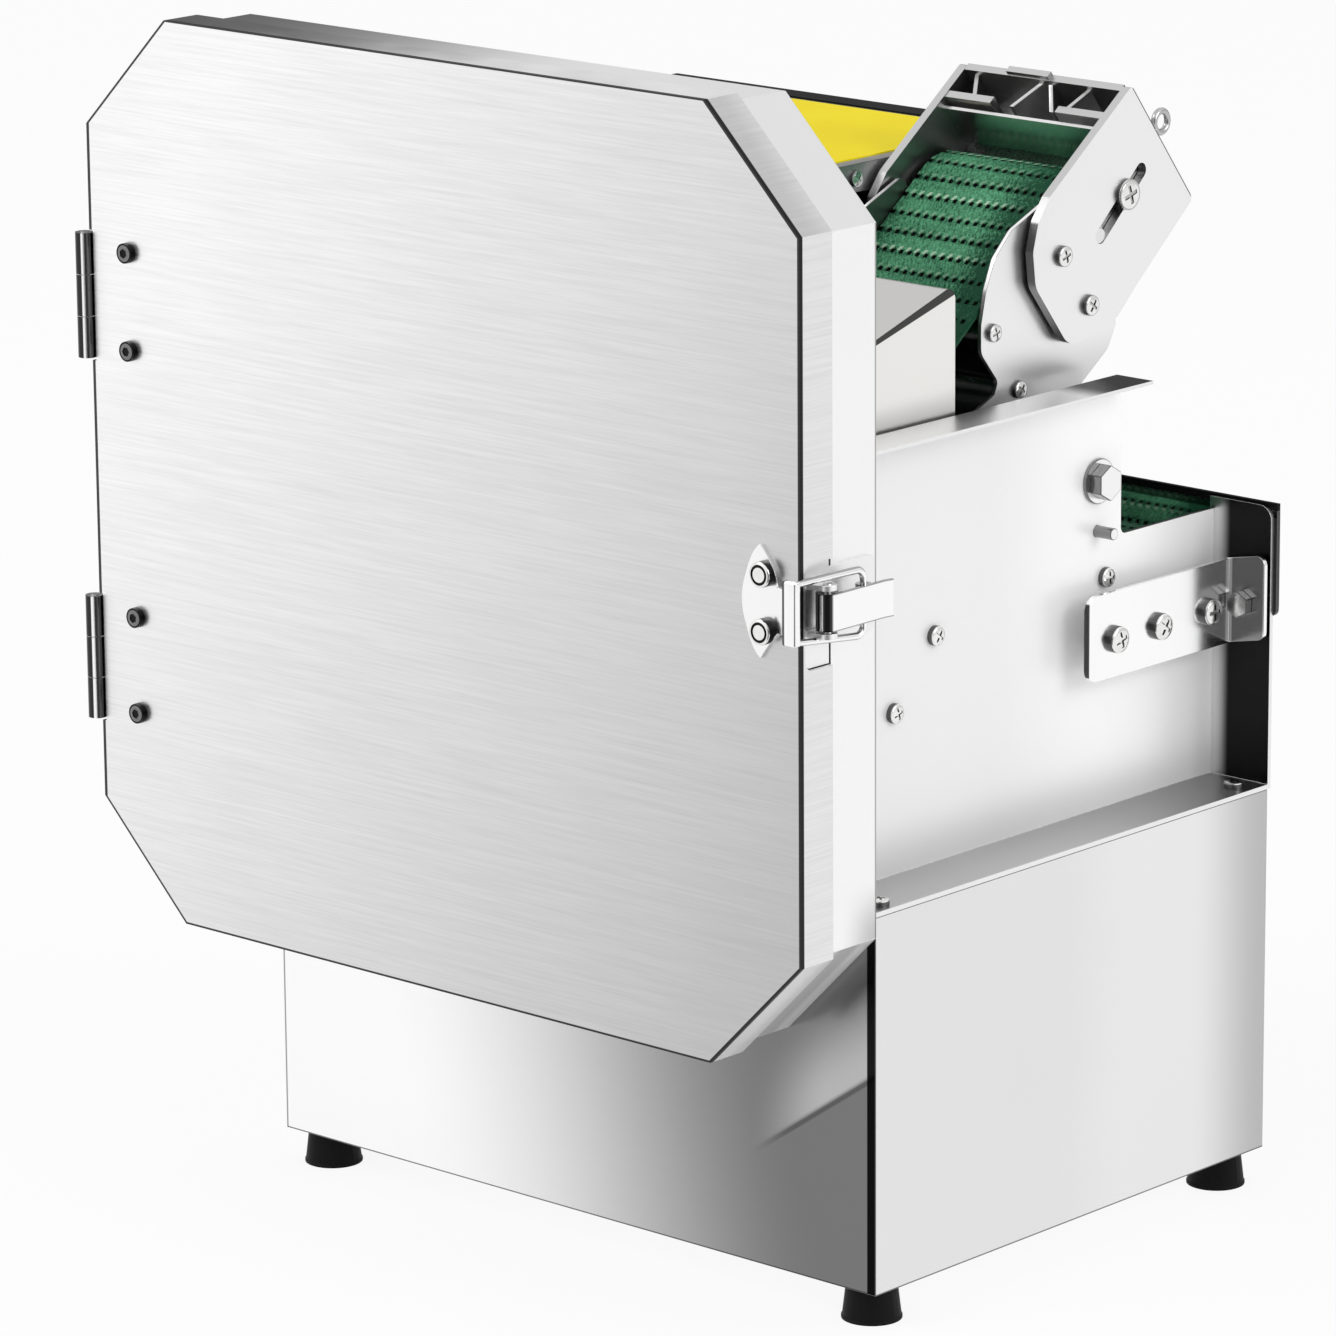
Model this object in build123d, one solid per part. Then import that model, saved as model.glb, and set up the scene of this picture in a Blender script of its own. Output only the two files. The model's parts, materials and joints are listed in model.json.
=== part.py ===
"""Table-top vegetable cutting machine with a feed belt, a floating press belt and a knife disc.

Frame: millimetres, +X to the right of the door, +Y from the door to the feed end, +Z up.
The origin is on the floor under the middle of the machine.
"""
import os
from math import atan2, cos, degrees, hypot, pi, radians, sin

from build123d import *

# General fits and sheet thicknesses
GAP = 0.3            # clearance between pieces that move past each other
FIT = 0.05           # radial running fit of a shaft in its hole
SHEET = 1.5          # thin sheet: door, housing, hood, lid
PLATE = 2.0          # thick sheet: side panel, channel wall, guards
SMALL_SCREW = 2.0    # shank radius of the small screws
LARGE_SCREW = 3.0    # shank radius of the bracket screws

# Base and feet
BASE_WIDTH = 330.6
BASE_DEPTH = 250.8
BASE_HEIGHT = 156.4
BASE_INSET = 0.5          # side of the base in from the side of the housing
FOOT_HEIGHT = 15.0
FOOT_RADIUS = 12.35
FOOT_TOP_RADIUS = 10.35
FOOT_INSET = 14.0
FOOT_SCREW = 2.5
FOOT_RECESS = 6.5
FOOT_RECESS_DEPTH = 6.0

# Door and knife housing
DOOR_WIDTH = 390.0
DOOR_HEIGHT = 382.0
DOOR_DROP = 56.8          # lower edge of the door below the top of the base
DOOR_CHAMFER = 47.5
DOOR_FRONT = -148.0
RIM_DEPTH = 19.0
HOUSING_INSET = 3.1
HOUSING_DEPTH = 27.0
FLANGE_WIDTH = 9.0
SEAL_WIDTH = 7.0
SEAL_THICKNESS = 2.0
NOTCH_BELOW = 23.7        # latch notch in the rim, from the middle of the latch
NOTCH_ABOVE = 18.3
NOTCH_START = 3.0
NOTCH_CORNER = 4.0
NOTCH_GAP = 0.4
MOUTH_HEIGHT = 60.0
MOUTH_PLATE = 3.0
MOUTH_MARGIN = 12.0

# Side panel, feed channel and drive box, with heights above the base
PANEL_OVERHANG = 30.0
PANEL_HEIGHT = 180.6
STEP_HEIGHT = 115.6
STEP_BEHIND_PIVOT = 15.5
REAR_FLANGE_HEIGHT = 120.6
FRONT_FLANGE_BACK = 8.0   # front flange short of the side of the base
TOP_FLANGE_WIDTH = 17.0
CHANNEL_WIDTH = 98.8
DRIVE_BOX_HEIGHT = 262.9
COVER_RETURN = 12.0
LID_FLANGE = 12.0
NOTICE_DEPTH = 127.0
NOTICE_MARGIN = 14.0
NOTICE_THICKNESS = 0.6
TRIM_THICKNESS = 3.0
TRIM_DEPTH = 12.0
GUARD_HEIGHT = 45.0
GUARD_DROP = 2.0          # guard top below the top of the rear flange
GUARD_OVERLAP = 6.6
HOOD_DEPTH = 88.8
HOOD_DROP = 7.0           # hood foot below the top of the side panel
HOOD_FRONT_HEIGHT = 33.0
HOOD_BACK_HEIGHT = 61.0
HOOD_GAP = 2.4

# Feed conveyor
BELT = 2.0
FEED_BELT_WIDTH = 86.0
FEED_BELT_HEIGHT = 110.9  # upper run above the base
FEED_ROLLER = 28.0
FEED_FRONT_SPACE = 35.7   # roller axis behind the housing
FEED_TAIL_SPACE = 32.1    # tail axis in front of the base's back
AXLE = 6.0
BED_LIP = 14.0
BRACKET_STAND = 11.6
BRACKET_LENGTH = 95.0
BRACKET_HALF = 18.0
TENSION_BOLT = 3.0
TENSION_INSET = 11.4      # bolt axis in from the side of the base

# Press unit, in its own tilted frame: a runs up the slope, b stands off the slope
PIVOT_SPACE = 173.7       # pivot behind the housing
PIVOT_HEIGHT = 140.6
PIVOT_BOLT = 4.0
PIVOT_SHAFT = 8.0
STOP_PIN = 2.5
STOP_PIN_DROP = 21.0
PRESS_TILT = 38.0
PRESS_ROLLER = 23.0
PRESS_AXIS_B = 72.5
PRESS_FRONT_A = -96.0
PRESS_REAR_A = 68.0
PRESS_BELT_WIDTH = 74.0
INNER_PLATE = 2.0
HEAD_PLATE = 4.0
HEAD_WALL = 3.5
HEAD_RIB = 2.0
HEAD_TOP_A = 119.5
HEAD_SPREAD = 45.0        # outer face of a head plate from the channel's middle
PLATE_SPREAD = 39.5       # outer face of an inner plate from the channel's middle
LIP_LENGTH = 24.0
LIP_A = 102.0
CHANNEL_FLOOR_B = 84.5
FLOAT_RANGE = 8.0         # degrees that the press unit can lift
SLOT_RUN = 34.5
SLOT_RISE = 2.5
SLOT_WIDTH = 6.5
CLAMP_A = 90.0
STRAP = 3.0
EYE_B = 76.0
EYE_ROD = 1.4
EYE_RADIUS = 4.4
TIE_SCREW = 1.8
HEAD_SCREW = 1.9

# Knife and its drive
SHAFT = 10.0
KNIFE_SPACE = 23.0        # knife tip in from the edge of the door
KNIFE_COUNT = 3
KNIFE_START = 100.0       # degrees of the first blade
BLADE = 2.0
BLADE_ROOT = 26.0
BLADE_WIDTH = 18.0
BLADE_SWEEP = 24.0
BLADE_BOLT = 3.0
BLADE_BOLT_REACH = (38.0, 54.0)
CARRIER_RADIUS = 62.0
CARRIER = 4.0
HUB_LENGTH = 14.0
SHAFT_NUT = 8.0
PULLEY_SPACE = 4.0        # knife pulley clear of the sprockets
MOTOR_PULLEY = 26.0
PULLEY_HALF = 8.0
VEE_PLANE_SPACE = 59.7    # plane of the vee belt behind the housing
BRACKET_SPACE = 85.7      # bearing bracket behind the housing
MOTOR_SHAFT = 7.0
MOTOR_RADIUS = 54.0
MOTOR_LENGTH = 150.0
MOTOR_HEIGHT = 71.0       # motor axis above the base's lower edge

# Feed drive
GEARMOTOR = 31.0          # radius of the feed motor
GEARMOTOR_LENGTH = 78.0
GEARBOX_WIDTH = 70.0
GEARBOX_HEIGHT = 76.0
GEARBOX_DEPTH = 40.0
GEAR_MODULE = 4.0
PINION_TEETH = 24
WHEEL_TEETH = 20
GEAR_ANGLE = 250.0
GEAR_WIDTH = 10.0
SPROCKET = 18.0
SPROCKET_TEETH = 12
SPROCKET_DEPTH = 4.0
SPROCKET_WIDTH = 5.0
SPROCKET_SPACE = 14.6
CHAIN = 4.0

# Hinges and latch
KNUCKLE = 3.85
HINGE_PIN = 1.5
HINGE_LENGTH = 53.0
HINGE_LOW_RISE = 107.9    # middle of the lower hinge above the door's lower edge
HINGE_HIGH_RISE = 262.4
HINGE_SCREW = 2.0
HINGE_SCREW_INSET = 23.0
HINGE_SCREW_SPREAD = 20.6
LATCH_RISE = 189.1
LATCH_PIN = 2.0
LATCH_FOOT = 15.0          # half height of the latch base on the housing
CATCH_PLATE = 1.6
CATCH_BOLT = 2.5
CATCH_INSET = 18.0
BAIL_WIRE = 1.5
BAIL_ARM = 20.0
BAIL_REACH = 36.0
BAIL_HALF = 13.2
LEVER_LENGTH = 40.0

# Controls and cable gland
CONTROL_DROP = 104.3      # below the top of the drive box
CONTROL_SPACE = 89.7      # first button behind the housing
BUTTON_PITCH = 40.0
KNOB_PITCH = 46.0
BUTTON = 11.0
BEZEL = 15.0
BEZEL_HEIGHT = 3.0
BUTTON_TRAVEL = 3.0
KNOB = 14.0
KNOB_HEIGHT = 16.0
SPINDLE = 4.0
GLAND_INSET = 39.2
GLAND_RISE = 35.0
GLAND_THREAD = 8.0
GLAND_BORE = 4.0

# Places worked out from the sizes above
DOOR_LEFT = -DOOR_WIDTH / 2
DOOR_RIGHT = DOOR_WIDTH / 2
RIM_BACK = DOOR_FRONT + RIM_DEPTH
HOUSING_FRONT = RIM_BACK + GAP + SEAL_THICKNESS
HOUSING_BACK = HOUSING_FRONT + HOUSING_DEPTH
HOUSING_RIGHT = DOOR_RIGHT - HOUSING_INSET
HOUSING_LEFT = DOOR_LEFT + HOUSING_INSET
BASE_RIGHT = HOUSING_RIGHT - BASE_INSET
BASE_LEFT = BASE_RIGHT - BASE_WIDTH
BASE_BACK = HOUSING_BACK + BASE_DEPTH
BASE_TOP = FOOT_HEIGHT + BASE_HEIGHT
DOOR_BOTTOM = BASE_TOP - DOOR_DROP
DOOR_TOP = DOOR_BOTTOM + DOOR_HEIGHT
SHAFT_Z = DOOR_BOTTOM + DOOR_HEIGHT / 2
WEB_OUT = BASE_RIGHT - PANEL_OVERHANG
WEB_IN = WEB_OUT - PLATE
CHANNEL_LEFT = WEB_IN - CHANNEL_WIDTH
WALL_OUT = CHANNEL_LEFT - PLATE
CHANNEL_MID = (WEB_IN + CHANNEL_LEFT) / 2
REAR_FACE = BASE_BACK + PLATE
PANEL_TOP = BASE_TOP + PANEL_HEIGHT
PANEL_STEP = BASE_TOP + STEP_HEIGHT
REAR_FLANGE_TOP = BASE_TOP + REAR_FLANGE_HEIGHT
DRIVE_BOX_TOP = BASE_TOP + DRIVE_BOX_HEIGHT
LID_TOP = DRIVE_BOX_TOP + 0.2 + SHEET
LID_LEFT = BASE_LEFT - GAP - SHEET
LID_RIGHT = CHANNEL_LEFT + GAP + SHEET
GUARD_TOP = REAR_FLANGE_TOP - GUARD_DROP
GUARD_LEFT = CHANNEL_LEFT - GUARD_OVERLAP
GUARD_RIGHT = BASE_RIGHT + 1.6
FEED_BELT_TOP = BASE_TOP + FEED_BELT_HEIGHT
FEED_AXIS_Z = FEED_BELT_TOP - BELT - GAP - FEED_ROLLER
FEED_FRONT_Y = HOUSING_BACK + FEED_FRONT_SPACE
FEED_TAIL_Y = BASE_BACK - FEED_TAIL_SPACE
FEED_LEFT = CHANNEL_MID - FEED_BELT_WIDTH / 2
FEED_RIGHT = CHANNEL_MID + FEED_BELT_WIDTH / 2
MOUTH_BOTTOM = FEED_BELT_TOP + 0.7
MOUTH_TOP = MOUTH_BOTTOM + MOUTH_HEIGHT
PIVOT_Y = HOUSING_BACK + PIVOT_SPACE
PIVOT_Z = BASE_TOP + PIVOT_HEIGHT
PANEL_STEP_Y = PIVOT_Y + STEP_BEHIND_PIVOT
STOP_PIN_Z = PIVOT_Z - STOP_PIN_DROP
BRACKET_OUT = WEB_OUT + BRACKET_STAND
BRACKET_BACK = BASE_BACK - 2.1
BRACKET_FRONT = BRACKET_BACK - BRACKET_LENGTH
TENSION_X = BASE_RIGHT - TENSION_INSET
TENSION_Z = FEED_AXIS_Z - 2.0
CLAMP_B = PRESS_AXIS_B + (CLAMP_A - PRESS_REAR_A) * SLOT_RISE / SLOT_RUN
STRAP_X = CHANNEL_MID + HEAD_SPREAD - HEAD_PLATE - GAP - STRAP / 2
SPROCKET_X = WALL_OUT - SPROCKET_SPACE
KNIFE_PULLEY = SPROCKET_X - PULLEY_SPACE
GEAR_X = SPROCKET_X - GEAR_WIDTH - 8.0
BEARING_X = WALL_OUT - 6.6
GEAR_REACH = GEAR_MODULE * (PINION_TEETH + WHEEL_TEETH) / 2
OUTPUT_Y = PIVOT_Y + GEAR_REACH * cos(radians(GEAR_ANGLE))
OUTPUT_Z = PIVOT_Z + GEAR_REACH * sin(radians(GEAR_ANGLE))
VEE_PLANE_Y = HOUSING_BACK + VEE_PLANE_SPACE
BRACKET_Y = HOUSING_BACK + BRACKET_SPACE
KNIFE_RADIUS = min(DOOR_WIDTH, DOOR_HEIGHT) / 2 - KNIFE_SPACE
KNIFE_BACK = HOUSING_BACK - PLATE - MOUTH_PLATE - 0.5
CARRIER_BACK = KNIFE_BACK - BLADE
CARRIER_FRONT = CARRIER_BACK - CARRIER
MOTOR_AXIS_Z = FOOT_HEIGHT + MOTOR_HEIGHT
HINGE_X = DOOR_LEFT - 2.5
HINGE_Y = DOOR_FRONT - 0.5
LATCH_X = DOOR_RIGHT + 5.0
LATCH_Y = DOOR_FRONT + 10.0
LATCH_Z = DOOR_BOTTOM + LATCH_RISE
CATCH_X = DOOR_RIGHT - CATCH_INSET
BAIL_X = LATCH_X + 1.0
CONTROL_Z = DRIVE_BOX_TOP - CONTROL_DROP
START_Y = HOUSING_BACK + CONTROL_SPACE
STOP_Y = START_Y + BUTTON_PITCH
KNOB_Y = STOP_Y + KNOB_PITCH
GLAND_X = BASE_LEFT + GLAND_INSET
GLAND_Z = FOOT_HEIGHT + GLAND_RISE


def block(x, y, z):
    """Box between the given pairs of limits."""
    middle = [(low + high) / 2 for low, high in (x, y, z)]
    return Pos(*middle) * Box(x[1] - x[0], y[1] - y[0], z[1] - z[0])


def rod(start, direction, radius, length):
    """Cylinder that leaves a point along a direction."""
    plane = Plane(origin=start, z_dir=direction)
    return plane * Cylinder(radius, length, align=(Align.CENTER, Align.CENTER, Align.MIN))


def rod_x(y, z, radius, x0, x1):
    return rod((x0, y, z), (1, 0, 0), radius, x1 - x0)


def rod_y(x, z, radius, y0, y1):
    return rod((x, y0, z), (0, 1, 0), radius, y1 - y0)


def rod_z(x, y, radius, z0, z1):
    return rod((x, y, z0), (0, 0, 1), radius, z1 - z0)


def along_x(sketch, x0, x1):
    """Extrude a sketch drawn in (Y, Z) between two X planes."""
    return extrude(Plane(origin=(x0, 0, 0), x_dir=(0, 1, 0), z_dir=(1, 0, 0)) * sketch, x1 - x0)


def along_y(sketch, y0, y1):
    """Extrude a sketch drawn in (X, Z) between two Y planes."""
    return extrude(Plane(origin=(0, y1, 0), x_dir=(1, 0, 0), z_dir=(0, -1, 0)) * sketch, y1 - y0)


def along_z(sketch, z0, z1):
    """Extrude a sketch drawn in (X, Y) between two Z planes."""
    return extrude(Plane.XY.offset(z0) * sketch, z1 - z0)


def area(*points):
    return make_face(Polyline(*points, close=True))


def soft_area(radii, *points):
    """Closed outline with its own radius at each corner."""
    return make_face(FilletPolyline(*points, radius=radii, close=True))


def disc(u, v, radius):
    return Pos(u, v) * Circle(radius)


def group(pieces):
    """Separate solids that share one node."""
    solids = [solid for piece in pieces for solid in piece.solids()]
    return Compound(solids)


def loop(first, first_radius, second, second_radius, thickness):
    """Flat band round two circles in a sketch plane."""
    def hull(extra):
        ends = [disc(*first, first_radius + extra), disc(*second, second_radius + extra)]
        return make_hull([edge for end in ends for edge in end.edges()])
    return hull(thickness) - hull(0)


def screw(place, direction, head, shank):
    """Screw whose head rests on a face: head radius and height, shank radius and length."""
    outward = Vector(*direction)
    start = Vector(*place) - outward * shank[1]
    shank_rod = rod(tuple(start), direction, shank[0], shank[1])
    head_rod = rod(tuple(place), direction, head[0], head[1])
    return shank_rod + head_rod


def hexagon(place, direction, across, height):
    plane = Plane(origin=place, z_dir=direction)
    return extrude(plane * RegularPolygon(across / 2, 6, major_radius=False), height)


def octagon(inset):
    """Outline of the door in (X, Z), drawn in by an inset."""
    half_width = DOOR_WIDTH / 2 - inset
    half_height = DOOR_HEIGHT / 2 - inset
    cut = DOOR_CHAMFER - inset * (2 - 2 ** 0.5)
    right = half_width - cut
    top = half_height - cut
    points = [(half_width, -top), (half_width, top), (right, half_height), (-right, half_height),
              (-half_width, top), (-half_width, -top), (-right, -half_height), (right, -half_height)]
    return Pos(0, SHAFT_Z) * area(*points)


def tilted(a, b):
    """Y and Z of a point given in the press unit's own frame."""
    turn = radians(PRESS_TILT)
    return (PIVOT_Y + a * cos(turn) - b * sin(turn), PIVOT_Z + a * sin(turn) + b * cos(turn))


def on_press(sketch, x0, x1):
    """Extrude a sketch drawn in the press unit's (a, b) frame between two X planes."""
    turn = radians(PRESS_TILT)
    plane = Plane(origin=(x0, PIVOT_Y, PIVOT_Z), x_dir=(0, cos(turn), sin(turn)), z_dir=(1, 0, 0))
    return extrude(plane * sketch, x1 - x0)


def on_slope(sketch, b0, b1):
    """Extrude a sketch drawn in (X, a) between two planes that lie along the press unit's slope."""
    turn = radians(PRESS_TILT)
    y, z = tilted(0, b0)
    plane = Plane(origin=(0, y, z), x_dir=(1, 0, 0), z_dir=(0, -sin(turn), cos(turn)))
    return extrude(plane * sketch, b1 - b0)


def press_rod(a, b, radius, x0, x1):
    y, z = tilted(a, b)
    return rod_x(y, z, radius, x0, x1)


def mirrored(shape):
    """Copy of a piece on the other side of the channel's middle plane."""
    return mirror(shape, Plane.YZ.offset(CHANNEL_MID))


# Base and feet

def foot_places():
    xs = (BASE_LEFT + FOOT_INSET, BASE_RIGHT - FOOT_INSET)
    ys = (HOUSING_BACK + FOOT_INSET, BASE_BACK - FOOT_INSET)
    return [(x, y) for x in xs for y in ys]


def base_box():
    """Sheet box, open below, with a slot for the vee belt and a hole for the cable gland."""
    shell = block((BASE_LEFT, BASE_RIGHT), (HOUSING_BACK, BASE_BACK), (FOOT_HEIGHT, BASE_TOP))
    shell -= block((BASE_LEFT + SHEET, BASE_RIGHT - SHEET),
                   (HOUSING_BACK + SHEET, BASE_BACK - SHEET),
                   (FOOT_HEIGHT - 1, BASE_TOP - SHEET))
    slot_half = KNIFE_PULLEY + 5
    slot = block((-slot_half, slot_half), (VEE_PLANE_Y - 12, VEE_PLANE_Y + 12),
                 (BASE_TOP - 2 * SHEET, BASE_TOP + 1))
    gland = rod_y(GLAND_X, GLAND_Z, GLAND_THREAD + 0.2, BASE_BACK - 3, BASE_BACK + 1)
    return shell - slot - gland


def base_bottom():
    plate = block((BASE_LEFT + SHEET + GAP, BASE_RIGHT - SHEET - GAP),
                  (HOUSING_BACK + SHEET + GAP, BASE_BACK - SHEET - GAP),
                  (FOOT_HEIGHT, FOOT_HEIGHT + PLATE))
    for x, y in foot_places():
        plate -= rod_z(x, y, FOOT_SCREW + FIT, FOOT_HEIGHT - 1, FOOT_HEIGHT + PLATE + 1)
    return plate


def rubber_feet():
    """Four turned rubber feet with a recess for the screw head."""
    profile = area((FOOT_SCREW + FIT, FOOT_RECESS_DEPTH), (FOOT_SCREW + FIT, FOOT_HEIGHT),
                   (FOOT_TOP_RADIUS, FOOT_HEIGHT), (FOOT_RADIUS - 0.4, 1.5),
                   (FOOT_RADIUS, 1.0), (FOOT_RADIUS, 0), (FOOT_RECESS, 0),
                   (FOOT_RECESS, FOOT_RECESS_DEPTH))
    foot = revolve(Plane.XZ * profile, Axis.Z)
    return group([Pos(x, y, 0) * foot for x, y in foot_places()])


# Side panel, channel wall and drive box

def right_side_panel():
    """Web with out-turned flanges at the bottom, front, rear and top."""
    web = soft_area([0, 0, 3, 3, 0, 0], (HOUSING_BACK, BASE_TOP), (REAR_FACE, BASE_TOP),
                    (REAR_FACE, PANEL_STEP), (PANEL_STEP_Y, PANEL_STEP),
                    (PANEL_STEP_Y, PANEL_TOP), (HOUSING_BACK, PANEL_TOP))
    panel = along_x(web, WEB_IN, WEB_OUT)
    panel += block((WEB_IN, BASE_RIGHT), (HOUSING_BACK, REAR_FACE), (BASE_TOP, BASE_TOP + PLATE))
    panel += block((WEB_IN, BASE_RIGHT - FRONT_FLANGE_BACK), (HOUSING_BACK, HOUSING_BACK + PLATE),
                   (BASE_TOP, PANEL_TOP))
    rear = soft_area([0, 0, 6, 0], (WEB_IN, BASE_TOP), (BASE_RIGHT, BASE_TOP),
                     (BASE_RIGHT, REAR_FLANGE_TOP), (WEB_IN, REAR_FLANGE_TOP))
    panel += along_y(rear, BASE_BACK, REAR_FACE)
    panel += block((WEB_IN, WEB_OUT + TOP_FLANGE_WIDTH), (HOUSING_BACK, PANEL_STEP_Y - 1),
                   (PANEL_TOP, PANEL_TOP + SHEET))
    panel -= rod_x(PIVOT_Y, PIVOT_Z, PIVOT_BOLT + FIT, WEB_IN - 1, WEB_OUT + 1)
    panel -= rod_x(PIVOT_Y, STOP_PIN_Z, STOP_PIN + FIT, WEB_IN - 1, WEB_OUT + 1)
    slot = Pos(FEED_TAIL_Y, FEED_AXIS_Z) * SlotOverall(4 * AXLE, 2 * (AXLE + GAP))
    panel -= along_x(slot, WEB_IN - 1, WEB_OUT + 1)
    panel -= rod_y(TENSION_X, TENSION_Z, TENSION_BOLT + FIT, BASE_BACK - 1, REAR_FACE + 1)
    for _, y, z in web_screw_places():
        panel -= rod_x(y, z, SMALL_SCREW + FIT, WEB_IN - 1, WEB_OUT + 1)
    for x, y, _ in flange_screw_places():
        panel -= rod_z(x, y, SMALL_SCREW + FIT, BASE_TOP - 1, BASE_TOP + PLATE + 1)
    return panel


def web_screw_places():
    """Small screws through the web, which hold the bearing block and the channel bed."""
    return [(WEB_OUT, FEED_FRONT_Y + 10.0, FEED_AXIS_Z - 12.0),
            (WEB_OUT, FEED_FRONT_Y + 35.0, FEED_AXIS_Z + 15.0),
            (WEB_OUT, PIVOT_Y + 5.0, FEED_AXIS_Z + 19.0)]


def flange_screw_places():
    top = BASE_TOP + PLATE
    return [(BASE_RIGHT - 8.4, BASE_BACK - 12.6, top), (BASE_RIGHT - 6.4, HOUSING_BACK + 9.7, top)]


def channel_wall():
    """Wall between the feed channel and the drive box, with bearing holes and the float slot."""
    wall = area((HOUSING_BACK, BASE_TOP), (BASE_BACK, BASE_TOP), (BASE_BACK, DRIVE_BOX_TOP),
                (HOUSING_BACK, DRIVE_BOX_TOP))
    front_y, front_z = tilted(PRESS_FRONT_A, PRESS_AXIS_B)
    lift = hypot(front_y - PIVOT_Y, front_z - PIVOT_Z) * sin(radians(FLOAT_RANGE))
    wall -= Pos(front_y, front_z + lift / 2) * SlotOverall(lift + 4 * AXLE, 3 * AXLE, rotation=90)
    wall -= disc(FEED_FRONT_Y, FEED_AXIS_Z, AXLE + GAP)
    wall -= disc(PIVOT_Y, PIVOT_Z, PIVOT_SHAFT + GAP)
    wall -= Pos(FEED_TAIL_Y, FEED_AXIS_Z) * SlotOverall(4 * AXLE, 2 * (AXLE + GAP))
    return along_x(wall, WALL_OUT, CHANNEL_LEFT)


def drive_box_cover():
    """Bent cover: return flange, left wall and rear wall in one piece."""
    left = BASE_LEFT
    fold = left + COVER_RETURN
    outline = area((left, HOUSING_BACK), (fold, HOUSING_BACK), (fold, HOUSING_BACK + SHEET),
                   (left + SHEET, HOUSING_BACK + SHEET), (left + SHEET, BASE_BACK - SHEET),
                   (WALL_OUT - GAP, BASE_BACK - SHEET), (WALL_OUT - GAP, BASE_BACK), (left, BASE_BACK))
    cover = along_z(outline, BASE_TOP, DRIVE_BOX_TOP)
    for y, z, radius in control_holes():
        cover -= rod_x(y, z, radius, left - 1, left + SHEET + 1)
    return cover


def drive_box_lid():
    """Lid with down-turned flanges on three sides."""
    back = BASE_BACK + GAP + SHEET
    lid = block((LID_LEFT, LID_RIGHT), (HOUSING_BACK + GAP, back), (LID_TOP - LID_FLANGE, LID_TOP))
    lid -= block((LID_LEFT + SHEET, LID_RIGHT - SHEET), (HOUSING_BACK - 1, back - SHEET),
                 (LID_TOP - LID_FLANGE - 1, LID_TOP - SHEET))
    upper = lid.edges().filter_by(Axis.Z).group_by(Axis.Y)[-1]
    return fillet(upper, 1.2)


def notice_plate():
    """Plain plate with nothing on it, fixed to the lid."""
    width = LID_RIGHT - LID_LEFT - NOTICE_MARGIN - NOTICE_MARGIN / 2
    middle_x = (LID_LEFT + LID_RIGHT) / 2 + NOTICE_MARGIN / 4
    middle_y = BASE_BACK - NOTICE_MARGIN - NOTICE_DEPTH / 2
    plate = Pos(middle_x, middle_y) * RectangleRounded(width, NOTICE_DEPTH, 4)
    return along_z(plate, LID_TOP, LID_TOP + NOTICE_THICKNESS)


def edge_trims():
    """Rubber edging on the back of the lid and on the top of the rear guard."""
    lid_trim = block((BASE_LEFT, CHANNEL_LEFT), (BASE_BACK - TRIM_DEPTH, BASE_BACK + GAP + SHEET),
                     (LID_TOP, LID_TOP + TRIM_THICKNESS))
    guard_trim = block((GUARD_LEFT, GUARD_RIGHT), (REAR_FACE, REAR_FACE + PLATE),
                       (GUARD_TOP, GUARD_TOP + TRIM_THICKNESS))
    return group([lid_trim, guard_trim])


def rear_guard():
    low = GUARD_TOP - GUARD_HEIGHT
    plate = soft_area([3, 3, 0, 0], (GUARD_LEFT, low), (GUARD_RIGHT, low),
                      (GUARD_RIGHT, GUARD_TOP), (GUARD_LEFT, GUARD_TOP))
    back = REAR_FACE + PLATE
    guard = along_y(plate, REAR_FACE, back)
    return guard - rod_y(TENSION_X, TENSION_Z, TENSION_BOLT + FIT, REAR_FACE - 1, back + 1)


# Knife housing, door and hood

def knife_housing():
    """Octagonal pan behind the door: walls, front flange, back plate; open at the bottom."""
    outer = octagon(HOUSING_INSET)
    housing = along_y(outer, HOUSING_FRONT, HOUSING_BACK)
    housing -= along_y(octagon(HOUSING_INSET + SHEET), HOUSING_FRONT + SHEET, HOUSING_BACK - PLATE)
    housing -= along_y(octagon(HOUSING_INSET + FLANGE_WIDTH), HOUSING_FRONT - 1, HOUSING_FRONT + SHEET + 1)
    drop = DOOR_WIDTH / 2 - DOOR_CHAMFER - 6
    housing -= block((-drop, drop), (HOUSING_FRONT - 1, HOUSING_BACK - PLATE),
                     (DOOR_BOTTOM, DOOR_BOTTOM + HOUSING_INSET + FLANGE_WIDTH + 1))
    housing -= rod_y(0, SHAFT_Z, SHAFT + 2, HOUSING_BACK - PLATE - 1, HOUSING_BACK + 1)
    housing -= block((CHANNEL_LEFT + 2, WEB_IN - 2), (HOUSING_BACK - PLATE - 1, HOUSING_BACK + 1),
                     (MOUTH_BOTTOM, MOUTH_TOP))
    return housing


def door_seal():
    """Flat rubber ring on the front flange of the housing."""
    ring = octagon(HOUSING_INSET + 1) - octagon(HOUSING_INSET + 1 + SEAL_WIDTH)
    seal = along_y(ring, HOUSING_FRONT - SEAL_THICKNESS, HOUSING_FRONT)
    drop = DOOR_WIDTH / 2 - DOOR_CHAMFER - 6
    return seal - block((-drop, drop), (HOUSING_FRONT - 5, HOUSING_FRONT + 1),
                        (DOOR_BOTTOM, DOOR_BOTTOM + 16))


def mouth_plate():
    """Thick shear plate round the feed mouth, which the blades pass."""
    middle = Pos(CHANNEL_MID, MOUTH_BOTTOM + MOUTH_HEIGHT / 2)
    margin = 2 * MOUTH_MARGIN
    frame = middle * RectangleRounded(CHANNEL_WIDTH + margin, MOUTH_HEIGHT + margin, 6)
    frame -= middle * Rectangle(CHANNEL_WIDTH - 4, MOUTH_HEIGHT)
    back = HOUSING_BACK - PLATE
    return along_y(frame, back - MOUTH_PLATE, back)


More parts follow.
